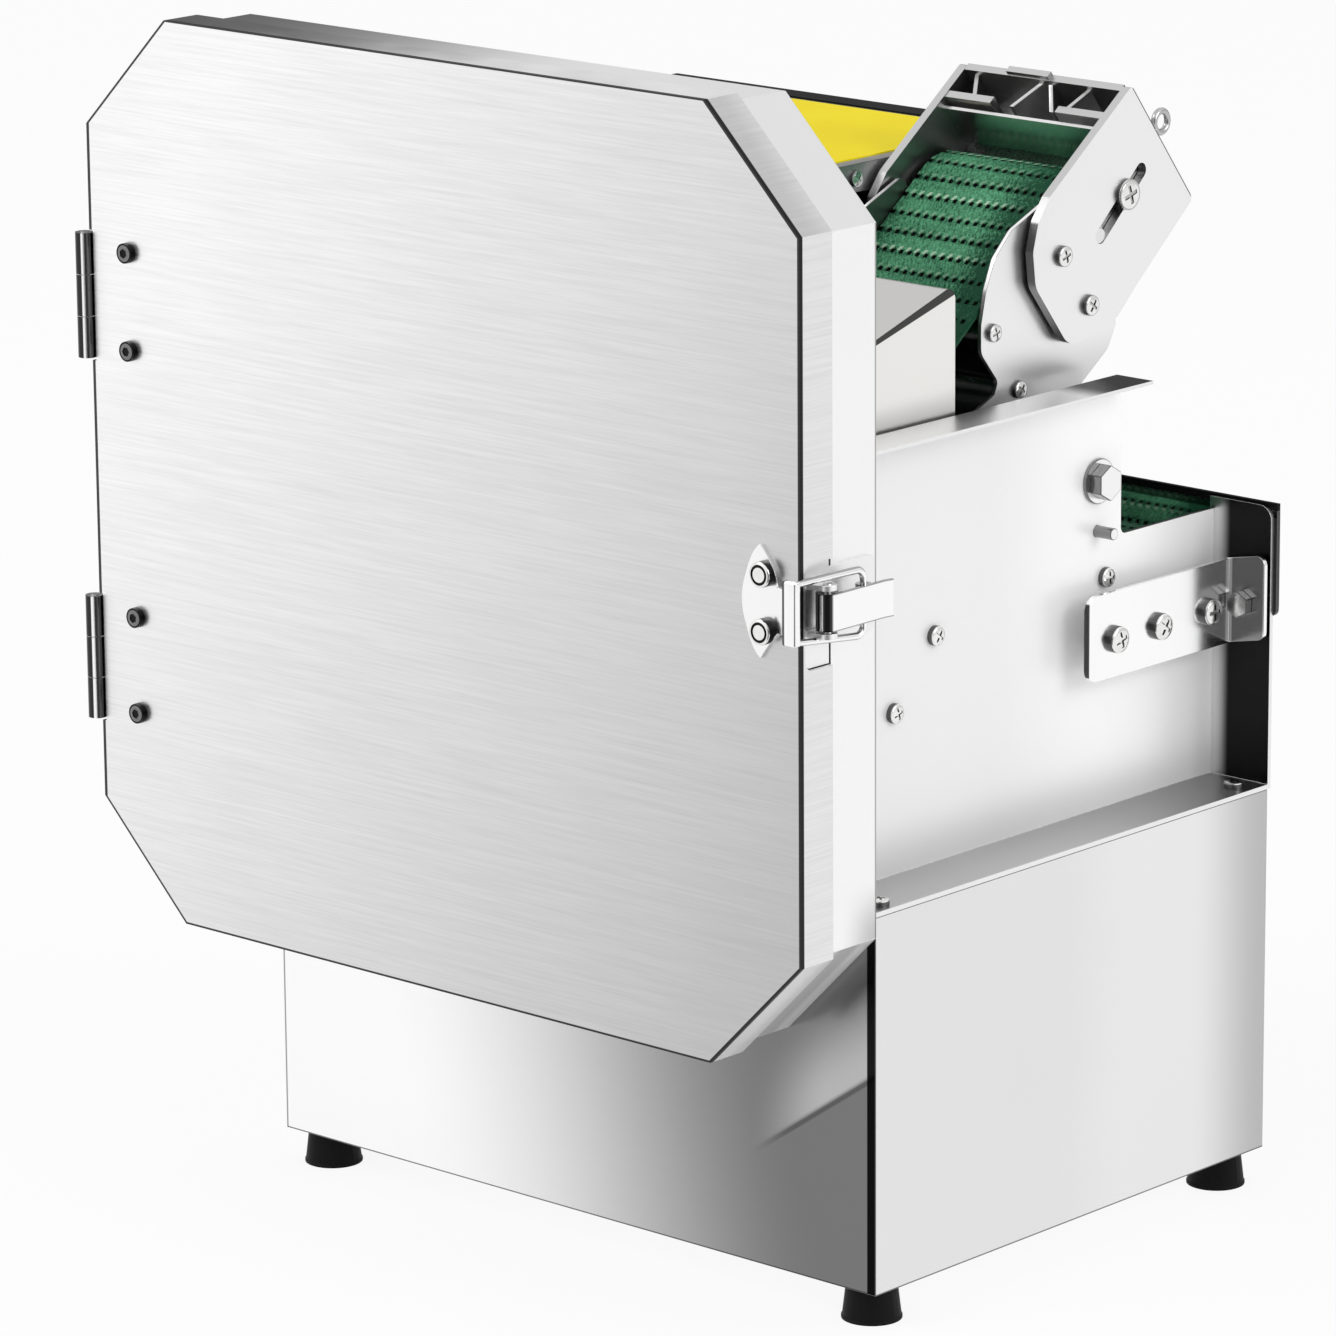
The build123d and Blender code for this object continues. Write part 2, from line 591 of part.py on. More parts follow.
def door_pan():
    """Octagonal pan: face and turned rim, with notches for the latch and the hinges."""
    pan = along_y(octagon(0), DOOR_FRONT, RIM_BACK)
    pan -= along_y(octagon(SHEET), DOOR_FRONT + SHEET, RIM_BACK + 1)
    drop = DOOR_WIDTH / 2 - DOOR_CHAMFER - 2
    pan -= block((-drop, drop), (DOOR_FRONT + 8, RIM_BACK + 1), (DOOR_BOTTOM - 1, DOOR_BOTTOM + SHEET + 1))
    low = LATCH_Z - NOTCH_BELOW
    high = LATCH_Z + NOTCH_ABOVE
    front = DOOR_FRONT + NOTCH_START
    notch = soft_area([NOTCH_CORNER, NOTCH_CORNER, 0, 0], (front, low), (front, high), (RIM_BACK + 1, high),
                      (RIM_BACK + 1, low))
    pan -= along_x(notch, DOOR_RIGHT - SHEET - 1, DOOR_RIGHT + 1)
    for z in hinge_heights():
        half = HINGE_LENGTH / 2 + 1
        pan -= block((DOOR_LEFT - 1, DOOR_LEFT + 2.2), (DOOR_FRONT - 1, DOOR_FRONT + 4.4),
                     (z - half, z + half))
    for x, z in hinge_screw_places():
        pan -= rod_y(x, z, HINGE_SCREW + FIT, DOOR_FRONT - 1, DOOR_FRONT + SHEET + 1)
    for z in catch_bolt_heights():
        pan -= rod_y(CATCH_X, z, CATCH_BOLT + FIT, DOOR_FRONT - 1, DOOR_FRONT + SHEET + 1)
    return pan


def hinge_heights():
    return (DOOR_BOTTOM + HINGE_LOW_RISE, DOOR_BOTTOM + HINGE_HIGH_RISE)


def hinge_screw_places():
    x = DOOR_LEFT + HINGE_SCREW_INSET
    return [(x, z + side * HINGE_SCREW_SPREAD) for z in hinge_heights() for side in (-1, 1)]


def catch_bolt_heights():
    return (LATCH_Z + 12.2, LATCH_Z - 10.4)


def inlet_hood():
    """Hood over the feed mouth, open below and towards the press unit."""
    left = CHANNEL_LEFT + HOOD_GAP
    right = WEB_IN - HOOD_GAP
    front = HOUSING_BACK
    back = front + HOOD_DEPTH
    bottom = PANEL_TOP - HOOD_DROP
    low = bottom + HOOD_FRONT_HEIGHT
    high = bottom + HOOD_BACK_HEIGHT
    outer = soft_area([0, 0, 4.5, 0], (front, bottom), (back, bottom), (back, high), (front, low))
    inner = soft_area([0, 0, 0, 0], (front - 1, bottom - 1), (back + 1, bottom - 1),
                      (back + 1, high - SHEET), (front - 1, low - 1.05 * SHEET))
    hood = along_x(outer, left, right)
    return hood - along_x(inner, left + SHEET, right - SHEET)


# Hinges

def knuckle_spans(z):
    """Three knuckles: the outer two on the frame leaf and the middle one on the door leaf."""
    third = HINGE_LENGTH / 3
    low = z - HINGE_LENGTH / 2
    return [(low + third * index + GAP / 2, low + third * (index + 1) - GAP / 2) for index in range(3)]


def frame_hinge_leaves():
    """Leaf that runs back outside the rim and steps in to the housing wall."""
    leaves = []
    for z in hinge_heights():
        spans = knuckle_spans(z)
        outer = DOOR_LEFT - 0.4
        inner = outer - SHEET
        wall = HOUSING_LEFT
        plan = area((inner, HINGE_Y), (outer, HINGE_Y), (outer, RIM_BACK + 1.5), (wall, RIM_BACK + 6),
                    (wall, HOUSING_BACK - 4), (wall - SHEET, HOUSING_BACK - 4),
                    (wall - SHEET, RIM_BACK + 6.5), (inner, RIM_BACK + 2.2))
        leaf = along_z(plan, spans[0][0], spans[2][1])
        relief = rod_z(HINGE_X, HINGE_Y, KNUCKLE + GAP, spans[1][0] - GAP, spans[1][1] + GAP)
        leaf -= relief
        for span in (spans[0], spans[2]):
            leaf += rod_z(HINGE_X, HINGE_Y, KNUCKLE, *span)
        leaf -= rod_z(HINGE_X, HINGE_Y, HINGE_PIN + FIT, z - HINGE_LENGTH, z + HINGE_LENGTH)
        leaves.append(leaf)
    return group(leaves)


def door_hinge_leaves():
    """Leaf behind the door face, with the middle knuckle."""
    leaves = []
    for z in hinge_heights():
        spans = knuckle_spans(z)
        y0 = DOOR_FRONT + SHEET
        leaf = block((DOOR_LEFT + 2.6, DOOR_LEFT + 30), (y0, y0 + SHEET), (spans[0][0], spans[2][1]))
        leaf += block((HINGE_X, DOOR_LEFT + 3), (y0, y0 + SHEET), spans[1])
        leaf += rod_z(HINGE_X, HINGE_Y, KNUCKLE, *spans[1])
        leaf -= rod_z(HINGE_X, HINGE_Y, HINGE_PIN + FIT, z - HINGE_LENGTH, z + HINGE_LENGTH)
        for x, screw_z in hinge_screw_places():
            leaf -= rod_y(x, screw_z, HINGE_SCREW + FIT, y0 - 1, y0 + SHEET + 1)
        leaves.append(leaf)
    return group(leaves)


def pivot_pins():
    """Hinge pins, and the pin that carries the latch lever."""
    pins = [rod_z(HINGE_X, HINGE_Y, HINGE_PIN, z - HINGE_LENGTH / 2, z + HINGE_LENGTH / 2)
            for z in hinge_heights()]
    pins.append(rod_z(LATCH_X, LATCH_Y, LATCH_PIN, LATCH_Z - 11, LATCH_Z + 11))
    return group(pins)


def hinge_screws():
    """Round-headed screws on the door face with nuts behind the leaf."""
    pieces = []
    for x, z in hinge_screw_places():
        pieces.append(screw((x, DOOR_FRONT, z), (0, -1, 0), (4.2, 2.6), (HINGE_SCREW, 2 * SHEET + 4)))
        nut = hexagon((x, DOOR_FRONT + 2 * SHEET, z), (0, 1, 0), 7, 3)
        pieces.append(nut - rod_y(x, z, HINGE_SCREW, DOOR_FRONT, DOOR_FRONT + 12))
    return group(pieces)


# Latch

def latch_catch():
    """Crescent plate with a neck that ends in the seat for the bail."""
    low = LATCH_Z - 20.4
    high = LATCH_Z + 24.8
    tip = CATCH_X + 4.0
    waist = CATCH_X + 6.6
    root = CATCH_X + 8.5
    half = 9.0
    plate = make_face([ThreePointArc((tip, low), (CATCH_X - 10.4, (low + high) / 2), (tip, high)),
                       ThreePointArc((tip, high), (waist, high - half), (root, LATCH_Z + half)),
                       Line((root, LATCH_Z + half), (root, LATCH_Z - half)),
                       ThreePointArc((root, LATCH_Z - half), (waist, low + half), (tip, low))])
    front = DOOR_FRONT
    catch = along_y(plate, front - CATCH_PLATE, front)
    seat = root + 5.5
    end = DOOR_RIGHT - 0.5
    outer = front - CATCH_PLATE - 2.1
    inner = outer + CATCH_PLATE
    neck = area((root - 1.5, front), (root - 1.5, front - CATCH_PLATE), (seat - 2.5, outer + 0.5),
                (seat, outer), (end, outer), (end, inner), (seat, inner), (seat - 2.0, front - CATCH_PLATE),
                (root + 1.0, front))
    catch += along_z(neck, LATCH_Z - half, LATCH_Z + half)
    for z in catch_bolt_heights():
        catch -= rod_y(CATCH_X, z, CATCH_BOLT + FIT, DOOR_FRONT - 3, DOOR_FRONT + 1)
    return catch


def catch_bolts():
    pieces = []
    for z in catch_bolt_heights():
        place = (CATCH_X, DOOR_FRONT - CATCH_PLATE, z)
        pieces.append(screw(place, (0, -1, 0), (5.0, 5.5), (CATCH_BOLT, SHEET + 6)))
        nut = hexagon((CATCH_X, DOOR_FRONT + SHEET, z), (0, 1, 0), 8, 3.5)
        pieces.append(nut - rod_y(CATCH_X, z, CATCH_BOLT, DOOR_FRONT, DOOR_FRONT + 12))
    return group(pieces)


def latch_base():
    """Plate on the housing wall that fills the notch in the rim, with two pin lugs."""
    wall = HOUSING_RIGHT
    front = DOOR_FRONT + NOTCH_START + NOTCH_GAP
    step = RIM_BACK - NOTCH_GAP
    back = HOUSING_BACK - 3
    low = LATCH_Z - NOTCH_BELOW + NOTCH_GAP
    high = LATCH_Z + NOTCH_ABOVE - NOTCH_GAP
    foot = soft_area([NOTCH_CORNER, 0, 0, 3, 3, 0, 0, NOTCH_CORNER],
                     (front, low), (step, low), (step, LATCH_Z - LATCH_FOOT), (back, LATCH_Z - LATCH_FOOT),
                     (back, LATCH_Z + LATCH_FOOT), (step, LATCH_Z + LATCH_FOOT), (step, high), (front, high))
    base = along_x(foot, wall, wall + SHEET)
    for low in (LATCH_Z - 10.6, LATCH_Z + 8.4):
        lug = area((wall, LATCH_Y - 5), (LATCH_X, LATCH_Y - 2 * LATCH_PIN),
                   (LATCH_X, LATCH_Y + 2 * LATCH_PIN), (wall, LATCH_Y + 7))
        lug += disc(LATCH_X, LATCH_Y, 2 * LATCH_PIN)
        base += along_z(lug, low, low + 2.2)
    return base - rod_z(LATCH_X, LATCH_Y, LATCH_PIN + FIT, LATCH_Z - 20, LATCH_Z + 20)


def latch_lever():
    """Strap rolled round its pin in front, with a roll for the bail on its inner side."""
    low = LATCH_Z - 7.4
    high = LATCH_Z + 7.4
    bail_y = LATCH_Y + BAIL_ARM
    outer = LATCH_X + 4.5
    bend = LATCH_Y + LEVER_LENGTH
    strap = area((outer - SHEET, LATCH_Y), (outer, LATCH_Y), (outer, bend), (outer + 0.8, bend + 4),
                 (outer - 0.6, bend + 4.4), (outer - SHEET, bend))
    plan = strap + disc(LATCH_X, LATCH_Y, 4.5) + disc(BAIL_X, bail_y, 3.2)
    lever = along_z(plan, low, high)
    lever -= rod_z(LATCH_X, LATCH_Y, LATCH_PIN + FIT, low - 1, high + 1)
    return lever - rod_z(BAIL_X, bail_y, BAIL_WIRE + FIT, low - 1, high + 1)


def latch_bail():
    """Wire loop from the lever to the catch: flat bar in front, round wire behind."""
    back = LATCH_Y + BAIL_ARM
    front = back - BAIL_REACH
    half = BAIL_HALF
    reach = half + BAIL_WIRE
    bar = block((LATCH_X - 7.7, LATCH_X - 0.7), (front - 2, front + 1.8), (LATCH_Z - reach, LATCH_Z + reach))
    bail = fillet(bar.edges().filter_by(Axis.X), 1.2)
    for side in (-1, 1):
        z = LATCH_Z + side * half
        start = Vector(BAIL_X - 3.5, front, z)
        end = Vector(BAIL_X, back, z)
        arm = end - start
        bail += rod(tuple(start), tuple(arm.normalized()), BAIL_WIRE, arm.length)
        bail += Pos(*end) * Sphere(BAIL_WIRE)
    return bail + rod_z(BAIL_X, back, BAIL_WIRE, LATCH_Z - half, LATCH_Z + half)


# Knife and its drive

def knife_shaft():
    shaft = rod_y(0, SHAFT_Z, SHAFT, CARRIER_FRONT - 24, VEE_PLANE_Y + 36)
    return chamfer(shaft.edges().filter_by(GeomType.CIRCLE), 1)


def knife_carrier():
    """Disc with a hub on its front; the blades are bolted to its back."""
    hub = 2 * SHAFT
    hub_front = CARRIER_FRONT - HUB_LENGTH
    profile = area((SHAFT + FIT, CARRIER_BACK), (CARRIER_RADIUS, CARRIER_BACK),
                   (CARRIER_RADIUS, CARRIER_FRONT), (3 * SHAFT, CARRIER_FRONT), (hub, CARRIER_FRONT - 6),
                   (hub, hub_front), (SHAFT + FIT, hub_front))
    carrier = revolve(profile, Axis.Y)
    for x, z in blade_bolt_places():
        carrier -= rod_y(x, z - SHAFT_Z, BLADE_BOLT + FIT, CARRIER_FRONT - 1, CARRIER_BACK + 1)
    return Pos(0, 0, SHAFT_Z) * carrier


def blade_bolt_places():
    """Two bolts for each blade, in (X, Z)."""
    places = []
    for index in range(KNIFE_COUNT):
        turn = radians(KNIFE_START + 360 / KNIFE_COUNT * index)
        for reach in BLADE_BOLT_REACH:
            places.append((reach * cos(turn), SHAFT_Z + reach * sin(turn)))
    return places


def knife_blades():
    """Sickle blades with a ground leading edge."""
    heel = (BLADE_ROOT, BLADE_WIDTH / 2)
    toe = (BLADE_ROOT, -BLADE_WIDTH / 2)
    back_tip = (KNIFE_RADIUS - 2 * BLADE, -BLADE_SWEEP / 3)
    tip = (KNIFE_RADIUS, -BLADE_SWEEP)
    back_middle = (0.655 * KNIFE_RADIUS, BLADE_WIDTH + BLADE)
    edge_middle = (0.625 * KNIFE_RADIUS, 2 * BLADE - BLADE_WIDTH)
    outline = make_face([Line(toe, heel), ThreePointArc(heel, back_middle, back_tip), Line(back_tip, tip),
                         ThreePointArc(tip, edge_middle, toe)])
    blade = along_y(outline, CARRIER_BACK, KNIFE_BACK)
    for reach in BLADE_BOLT_REACH:
        blade -= rod_y(reach, 0, BLADE_BOLT + FIT, CARRIER_BACK - 1, KNIFE_BACK + 1)
    arcs = blade.edges().filter_by(GeomType.CIRCLE).sort_by(SortBy.LENGTH)[-4:]
    leading = min(arcs, key=lambda arc: (round(arc.center().Z, 1), arc.center().Y))
    blade = chamfer(leading, length=0.8 * BLADE, length2=2.5 * BLADE)
    pieces = []
    for index in range(KNIFE_COUNT):
        turned = blade.rotate(Axis.Y, -(KNIFE_START + 360 / KNIFE_COUNT * index))
        pieces.append(Pos(0, 0, SHAFT_Z) * turned)
    return group(pieces)


def knife_fasteners():
    """Blade bolts and the nut that holds the carrier on its shaft."""
    pieces = []
    for x, z in blade_bolt_places():
        head = hexagon((x, CARRIER_FRONT, z), (0, -1, 0), 10, 4)
        pieces.append(head + rod_y(x, z, BLADE_BOLT, CARRIER_FRONT, KNIFE_BACK))
    nut = hexagon((0, CARRIER_FRONT - HUB_LENGTH, SHAFT_Z), (0, -1, 0), 3 * SHAFT, SHAFT_NUT)
    pieces.append(nut - rod_y(0, SHAFT_Z, SHAFT + FIT, CARRIER_FRONT - 40, CARRIER_FRONT))
    return group(pieces)


def flange_bearing(y, z, bore, thickness, outer):
    """Oval two-bolt flange with a raised seat, drawn with its axis along X from 0."""
    flange = Pos(y, z) * (SlotOverall(3.2 * outer, 2 * outer, rotation=90) - Circle(bore + FIT))
    return along_x(flange, 0, thickness)


def bearings():
    """Bearings of the knife shaft, of the feed roller and of the pivot shaft."""
    pieces = []
    for y0, y1 in ((HOUSING_BACK, HOUSING_BACK + 12), (BRACKET_Y - 12, BRACKET_Y)):
        flange = SlotOverall(6 * SHAFT, 3 * SHAFT, rotation=90)
        body = disc(0, SHAFT_Z, 2.2 * SHAFT) + Pos(0, SHAFT_Z) * flange
        pieces.append(along_y(body - disc(0, SHAFT_Z, SHAFT + FIT), y0, y1))
    right_face = FEED_RIGHT + 1
    places = [(BEARING_X, FEED_FRONT_Y, FEED_AXIS_Z, AXLE, WALL_OUT),
              (BEARING_X, PIVOT_Y, PIVOT_Z, PIVOT_SHAFT, WALL_OUT),
              (right_face, FEED_FRONT_Y, FEED_AXIS_Z, AXLE, WEB_IN)]
    for x0, y, z, bore, x1 in places:
        pieces.append(Pos(x0, 0, 0) * flange_bearing(y, z, bore, x1 - x0, 2 * bore))
    return group(pieces)


def bearing_bracket():
    """Bent plate that stands on the base and carries the rear bearing of the knife shaft."""
    profile = area((BRACKET_Y, BASE_TOP), (BRACKET_Y + 18, BASE_TOP), (BRACKET_Y + 18, BASE_TOP + 3),
                   (BRACKET_Y + 3, BASE_TOP + 3), (BRACKET_Y + 3, SHAFT_Z + 36), (BRACKET_Y, SHAFT_Z + 36))
    bracket = along_x(profile, -34, 22)
    return bracket - rod_y(0, SHAFT_Z, SHAFT + 2, BRACKET_Y - 1, BRACKET_Y + 4)


def vee_pulley(radius, bore, x, z):
    """Grooved pulley in the plane of the vee belt."""
    half = PULLEY_HALF
    root = radius - half
    profile = area((bore + FIT, -half), (radius, -half), (radius, -half + 1.5), (root, -3.4), (root, 3.4),
                   (radius, half - 1.5), (radius, half), (bore + FIT, half))
    return Pos(x, VEE_PLANE_Y, z) * revolve(profile, Axis.Y)


def knife_pulley():
    return vee_pulley(KNIFE_PULLEY, SHAFT, 0, SHAFT_Z)


def motor_pulley():
    """Pulley and shaft of the knife motor."""
    pulley = vee_pulley(MOTOR_PULLEY, MOTOR_SHAFT - FIT, 0, MOTOR_AXIS_Z)
    return pulley + rod_y(0, MOTOR_AXIS_Z, MOTOR_SHAFT, VEE_PLANE_Y - 9, VEE_PLANE_Y + 30)


def drive_belt():
    """Vee belt between the motor and the knife shaft."""
    sink = PULLEY_HALF - GAP
    band = loop((0, SHAFT_Z), KNIFE_PULLEY - sink, (0, MOTOR_AXIS_Z), MOTOR_PULLEY - sink, 6.5)
    return along_y(band, VEE_PLANE_Y - 2.9, VEE_PLANE_Y + 2.9)


def knife_motor():
    """Foot-mounted motor in the base: finned body, end bell, feet and terminal box."""
    start = VEE_PLANE_Y + 14
    end = start + MOTOR_LENGTH
    profile = area((MOTOR_SHAFT + FIT, start), (24, start), (28, start + 4), (MOTOR_RADIUS - 6, start + 8),
                   (MOTOR_RADIUS - 3, start + 22), (MOTOR_RADIUS, start + 24), (MOTOR_RADIUS, end - 34),
                   (MOTOR_RADIUS - 3, end - 32), (MOTOR_RADIUS - 3, end - 6), (MOTOR_RADIUS - 9, end),
                   (0, end), (0, start + 24), (MOTOR_SHAFT + FIT, start + 24))
    body = Pos(0, 0, MOTOR_AXIS_Z) * revolve(profile, Axis.Y)
    bottom = FOOT_HEIGHT + PLATE
    wide = MOTOR_RADIUS + 2
    narrow = MOTOR_RADIUS - 20
    saddle = MOTOR_AXIS_Z - 30
    for y in (start + 30, end - 60):
        foot = area((-wide, bottom), (wide, bottom), (wide, bottom + 6), (narrow, saddle),
                    (-narrow, saddle), (-wide, bottom + 6))
        body += along_y(foot, y, y + 24)
    middle = (start + end) / 2 - 5
    return body + block((MOTOR_RADIUS - 8, MOTOR_RADIUS + 22), (middle - 30, middle + 30),
                        (MOTOR_AXIS_Z - 22, MOTOR_AXIS_Z + 22))


# Feed drive

def gear_outline(teeth, module, turned=0.0):
    """Spur gear outline with straight flanks and backlash."""
    pitch = module * teeth / 2
    tip = pitch + 0.8 * module
    root = pitch - 1.15 * module
    step = 2 * pi / teeth
    points = []
    for index in range(teeth):
        middle = step * index + radians(turned)
        for radius, share in ((root, -0.36), (tip, -0.12), (tip, 0.12), (root, 0.36)):
            angle = middle + share * step
            points.append((radius * cos(angle), radius * sin(angle)))
    return area(*points)


def sprocket_outline():
    step = 2 * pi / SPROCKET_TEETH
    root = SPROCKET - SPROCKET_DEPTH
    points = []
    for index in range(SPROCKET_TEETH):
        for radius, share in ((root, -0.3), (SPROCKET, -0.08), (SPROCKET, 0.08), (root, 0.3)):
            angle = step * (index + share)
            points.append((radius * cos(angle), radius * sin(angle)))
    return area(*points)


def motor_gear():
    """Output shaft of the gear motor with its pinion and sprocket."""
    pinion = Pos(OUTPUT_Y, OUTPUT_Z) * gear_outline(PINION_TEETH, GEAR_MODULE, GEAR_ANGLE + 180)
    gear = along_x(pinion, GEAR_X, GEAR_X + GEAR_WIDTH)
    sprocket = Pos(OUTPUT_Y, OUTPUT_Z) * sprocket_outline()
    gear += along_x(sprocket, SPROCKET_X, SPROCKET_X + SPROCKET_WIDTH)
    return gear + rod_x(OUTPUT_Y, OUTPUT_Z, AXLE, GEAR_X - 20, SPROCKET_X + SPROCKET_WIDTH + 3)


def pivot_shaft():
    """Live shaft on the press pivot with its gear wheel and sprocket."""
    half_tooth = 180 / WHEEL_TEETH
    wheel = Pos(PIVOT_Y, PIVOT_Z) * gear_outline(WHEEL_TEETH, GEAR_MODULE, GEAR_ANGLE + half_tooth)
    shaft = along_x(wheel, GEAR_X, GEAR_X + GEAR_WIDTH)
    for index in range(5):
        turn = radians(72 * index)
        y = PIVOT_Y + 30 * cos(turn)
        z = PIVOT_Z + 30 * sin(turn)
        shaft -= rod_x(y, z, 9, GEAR_X - 1, GEAR_X + GEAR_WIDTH + 1)
    sprocket = Pos(PIVOT_Y, PIVOT_Z) * sprocket_outline()
    shaft += along_x(sprocket, SPROCKET_X, SPROCKET_X + SPROCKET_WIDTH)
    end = CHANNEL_MID - PLATE_SPREAD + INNER_PLATE + 2
    return shaft + rod_x(PIVOT_Y, PIVOT_Z, PIVOT_SHAFT, GEAR_X - 4, end)


def feed_gearmotor():
    """Gearbox and motor of the feed, fixed across the drive box."""
    right = GEAR_X - 4
    hole = rod_x(OUTPUT_Y, OUTPUT_Z, AXLE + FIT, right - 18, right + 1)
    left = right - GEARBOX_DEPTH
    outline = Pos(OUTPUT_Y, OUTPUT_Z - 4) * RectangleRounded(GEARBOX_WIDTH, GEARBOX_HEIGHT, 8)
    gearbox = along_x(outline, left, right)
    motor = rod_x(OUTPUT_Y, OUTPUT_Z - 8, GEARMOTOR, left - GEARMOTOR_LENGTH, left)
    half = GEARBOX_WIDTH / 2 + 1
    top = OUTPUT_Z - 4 - GEARBOX_HEIGHT / 2
    foot = block((left - GEARMOTOR_LENGTH + 18, right - 10), (OUTPUT_Y - half, OUTPUT_Y + half),
                 (BASE_TOP, top + 0.1))
    return gearbox + motor + foot - hole


def chain_loop(first, second, x0):
    band = loop(first, SPROCKET + GAP, second, SPROCKET + GAP, CHAIN)
    return along_x(band, x0, x0 + SPROCKET_WIDTH)


def drive_chain():
    return chain_loop((OUTPUT_Y, OUTPUT_Z), (FEED_FRONT_Y, FEED_AXIS_Z), SPROCKET_X)


def press_chain():
    return chain_loop((PIVOT_Y, PIVOT_Z), tilted(PRESS_FRONT_A, PRESS_AXIS_B), SPROCKET_X)


# Feed conveyor

def drum(y, z, radius, bore, width):
    """Roller drum centred on the channel, with chamfered ends."""
    left = CHANNEL_MID - width / 2
    roller = rod_x(y, z, radius, left, left + width)
    roller = chamfer(roller.edges().filter_by(GeomType.CIRCLE), 1)
    return roller - rod_x(y, z, bore, left - 1, left + width + 1) if bore else roller


def feed_drive_roller():
    """Driven front roller with its shaft ends and sprocket."""
    roller = drum(FEED_FRONT_Y, FEED_AXIS_Z, FEED_ROLLER, 0, FEED_BELT_WIDTH)
    roller += rod_x(FEED_FRONT_Y, FEED_AXIS_Z, AXLE, SPROCKET_X - 3, WEB_IN - 1)
    sprocket = Pos(FEED_FRONT_Y, FEED_AXIS_Z) * sprocket_outline()
    return roller + along_x(sprocket, SPROCKET_X, SPROCKET_X + SPROCKET_WIDTH)


def tail_roller():
    return drum(FEED_TAIL_Y, FEED_AXIS_Z, FEED_ROLLER, AXLE + FIT, FEED_BELT_WIDTH)


def tail_axle():
    """Fixed axle of the tail roller, held in the tension brackets."""
    return rod_x(FEED_TAIL_Y, FEED_AXIS_Z, AXLE, WALL_OUT - 8, BRACKET_OUT - PLATE)


def feed_belt():
    inner = FEED_ROLLER + GAP
    band = loop((FEED_FRONT_Y, FEED_AXIS_Z), inner, (FEED_TAIL_Y, FEED_AXIS_Z), inner, BELT)
    return along_x(band, FEED_LEFT, FEED_RIGHT)


def feed_bed():
    """Channel-shaped bed under the upper run, between the two walls."""
    top = FEED_BELT_TOP - BELT - GAP
    front = FEED_FRONT_Y + FEED_ROLLER + 5
    back = FEED_TAIL_Y - FEED_ROLLER - 5
    bed = block((CHANNEL_LEFT, WEB_IN), (front, back), (top - SHEET, top))
    for y in (front, back - SHEET):
        bed += block((CHANNEL_LEFT, WEB_IN), (y, y + SHEET), (top - BED_LIP, top))
    for x in (CHANNEL_LEFT, WEB_IN - SHEET):
        bed += block((x, x + SHEET), (front, back), (top - BED_LIP, top))
    return bed


def tension_bracket():
    """Bent bracket that stands off the web and carries the tension bolt on its return flange."""
    low = TENSION_Z - BRACKET_HALF
    high = TENSION_Z + BRACKET_HALF
    leg = soft_area([6, 0, 0, 6], (BRACKET_FRONT, low), (BRACKET_BACK, low), (BRACKET_BACK, high),
                    (BRACKET_FRONT, high))
    bracket = along_x(leg, BRACKET_OUT - PLATE, BRACKET_OUT)
    flange = soft_area([0, 4, 4, 0], (BRACKET_OUT - PLATE, low), (BASE_RIGHT, low + 4),
                       (BASE_RIGHT, high + 4), (BRACKET_OUT - PLATE, high))
    bracket += along_y(flange, BRACKET_BACK - PLATE, BRACKET_BACK)
    bracket -= rod_y(TENSION_X, TENSION_Z, TENSION_BOLT + FIT, BRACKET_BACK - PLATE - 1, BRACKET_BACK + 1)
    for _, y, z in bracket_screw_places():
        bracket -= rod_x(y, z, LARGE_SCREW + FIT, BRACKET_OUT - PLATE - 1, BRACKET_OUT + 1)
    return bracket


def bracket_screw_places():
    places = (BRACKET_FRONT + 18.0, BRACKET_FRONT + 46.6, BRACKET_BACK - 15.6)
    return [(BRACKET_OUT, y, TENSION_Z - 2) for y in places]


def panel_hardware():
    """Pivot bolt and washer, stop pin, bracket spacers and the tension bolt."""
    inner = CHANNEL_MID + PLATE_SPREAD - INNER_PLATE - 3
    washer = rod_x(PIVOT_Y, PIVOT_Z, 9.4, WEB_OUT, WEB_OUT + 1.6)
    washer -= rod_x(PIVOT_Y, PIVOT_Z, PIVOT_BOLT + FIT, WEB_OUT - 1, WEB_OUT + 3)
    bolt = hexagon((WEB_OUT + 1.6, PIVOT_Y, PIVOT_Z), (1, 0, 0), 13, 5.5)
    bolt += rod_x(PIVOT_Y, PIVOT_Z, PIVOT_BOLT, inner, WEB_OUT + 1.6)
    stop = rod_x(PIVOT_Y, STOP_PIN_Z, STOP_PIN, WEB_IN - 8, WEB_OUT + 9)
    pieces = [washer, bolt, stop]
    for _, y, z in bracket_screw_places():
        spacer = rod_x(y, z, 5, WEB_OUT, BRACKET_OUT - PLATE)
        pieces.append(spacer - rod_x(y, z, LARGE_SCREW + FIT, WEB_OUT - 1, BRACKET_OUT + 1))
    start = BRACKET_BACK - PLATE
    head = hexagon((TENSION_X, start, TENSION_Z), (0, -1, 0), 10, 4)
    pieces.append(head + rod_y(TENSION_X, TENSION_Z, TENSION_BOLT, start, REAR_FACE + PLATE + 4))
    return group(pieces)


# Press unit

def inner_outline():
    """Side plate of the press conveyor: long arm to the front roller, upright and pivot boss."""
    front = (PRESS_FRONT_A, PRESS_AXIS_B)
    arm = make_hull(disc(*front, 13).edges() + disc(-17, 54, 11.5).edges())
    upright = soft_area([4, 3, 7, 8, 10, 12, 9, 3, 3, 8, 10],
                        (-26.4, 58.7), (-9.6, 67.8), (-10.0, 84.7), (-3.0, 93.7), (7.7, 102.4), (19.8, 108.9),
                        (34.2, 110.3), (58.0, 103.6), (58.0, 31.3), (47.3, 26.5), (-16.0, 30.0))
    leg = make_hull(disc(0, 0, 14).edges() + disc(2, 44, 18).edges())
    return arm + upright + leg


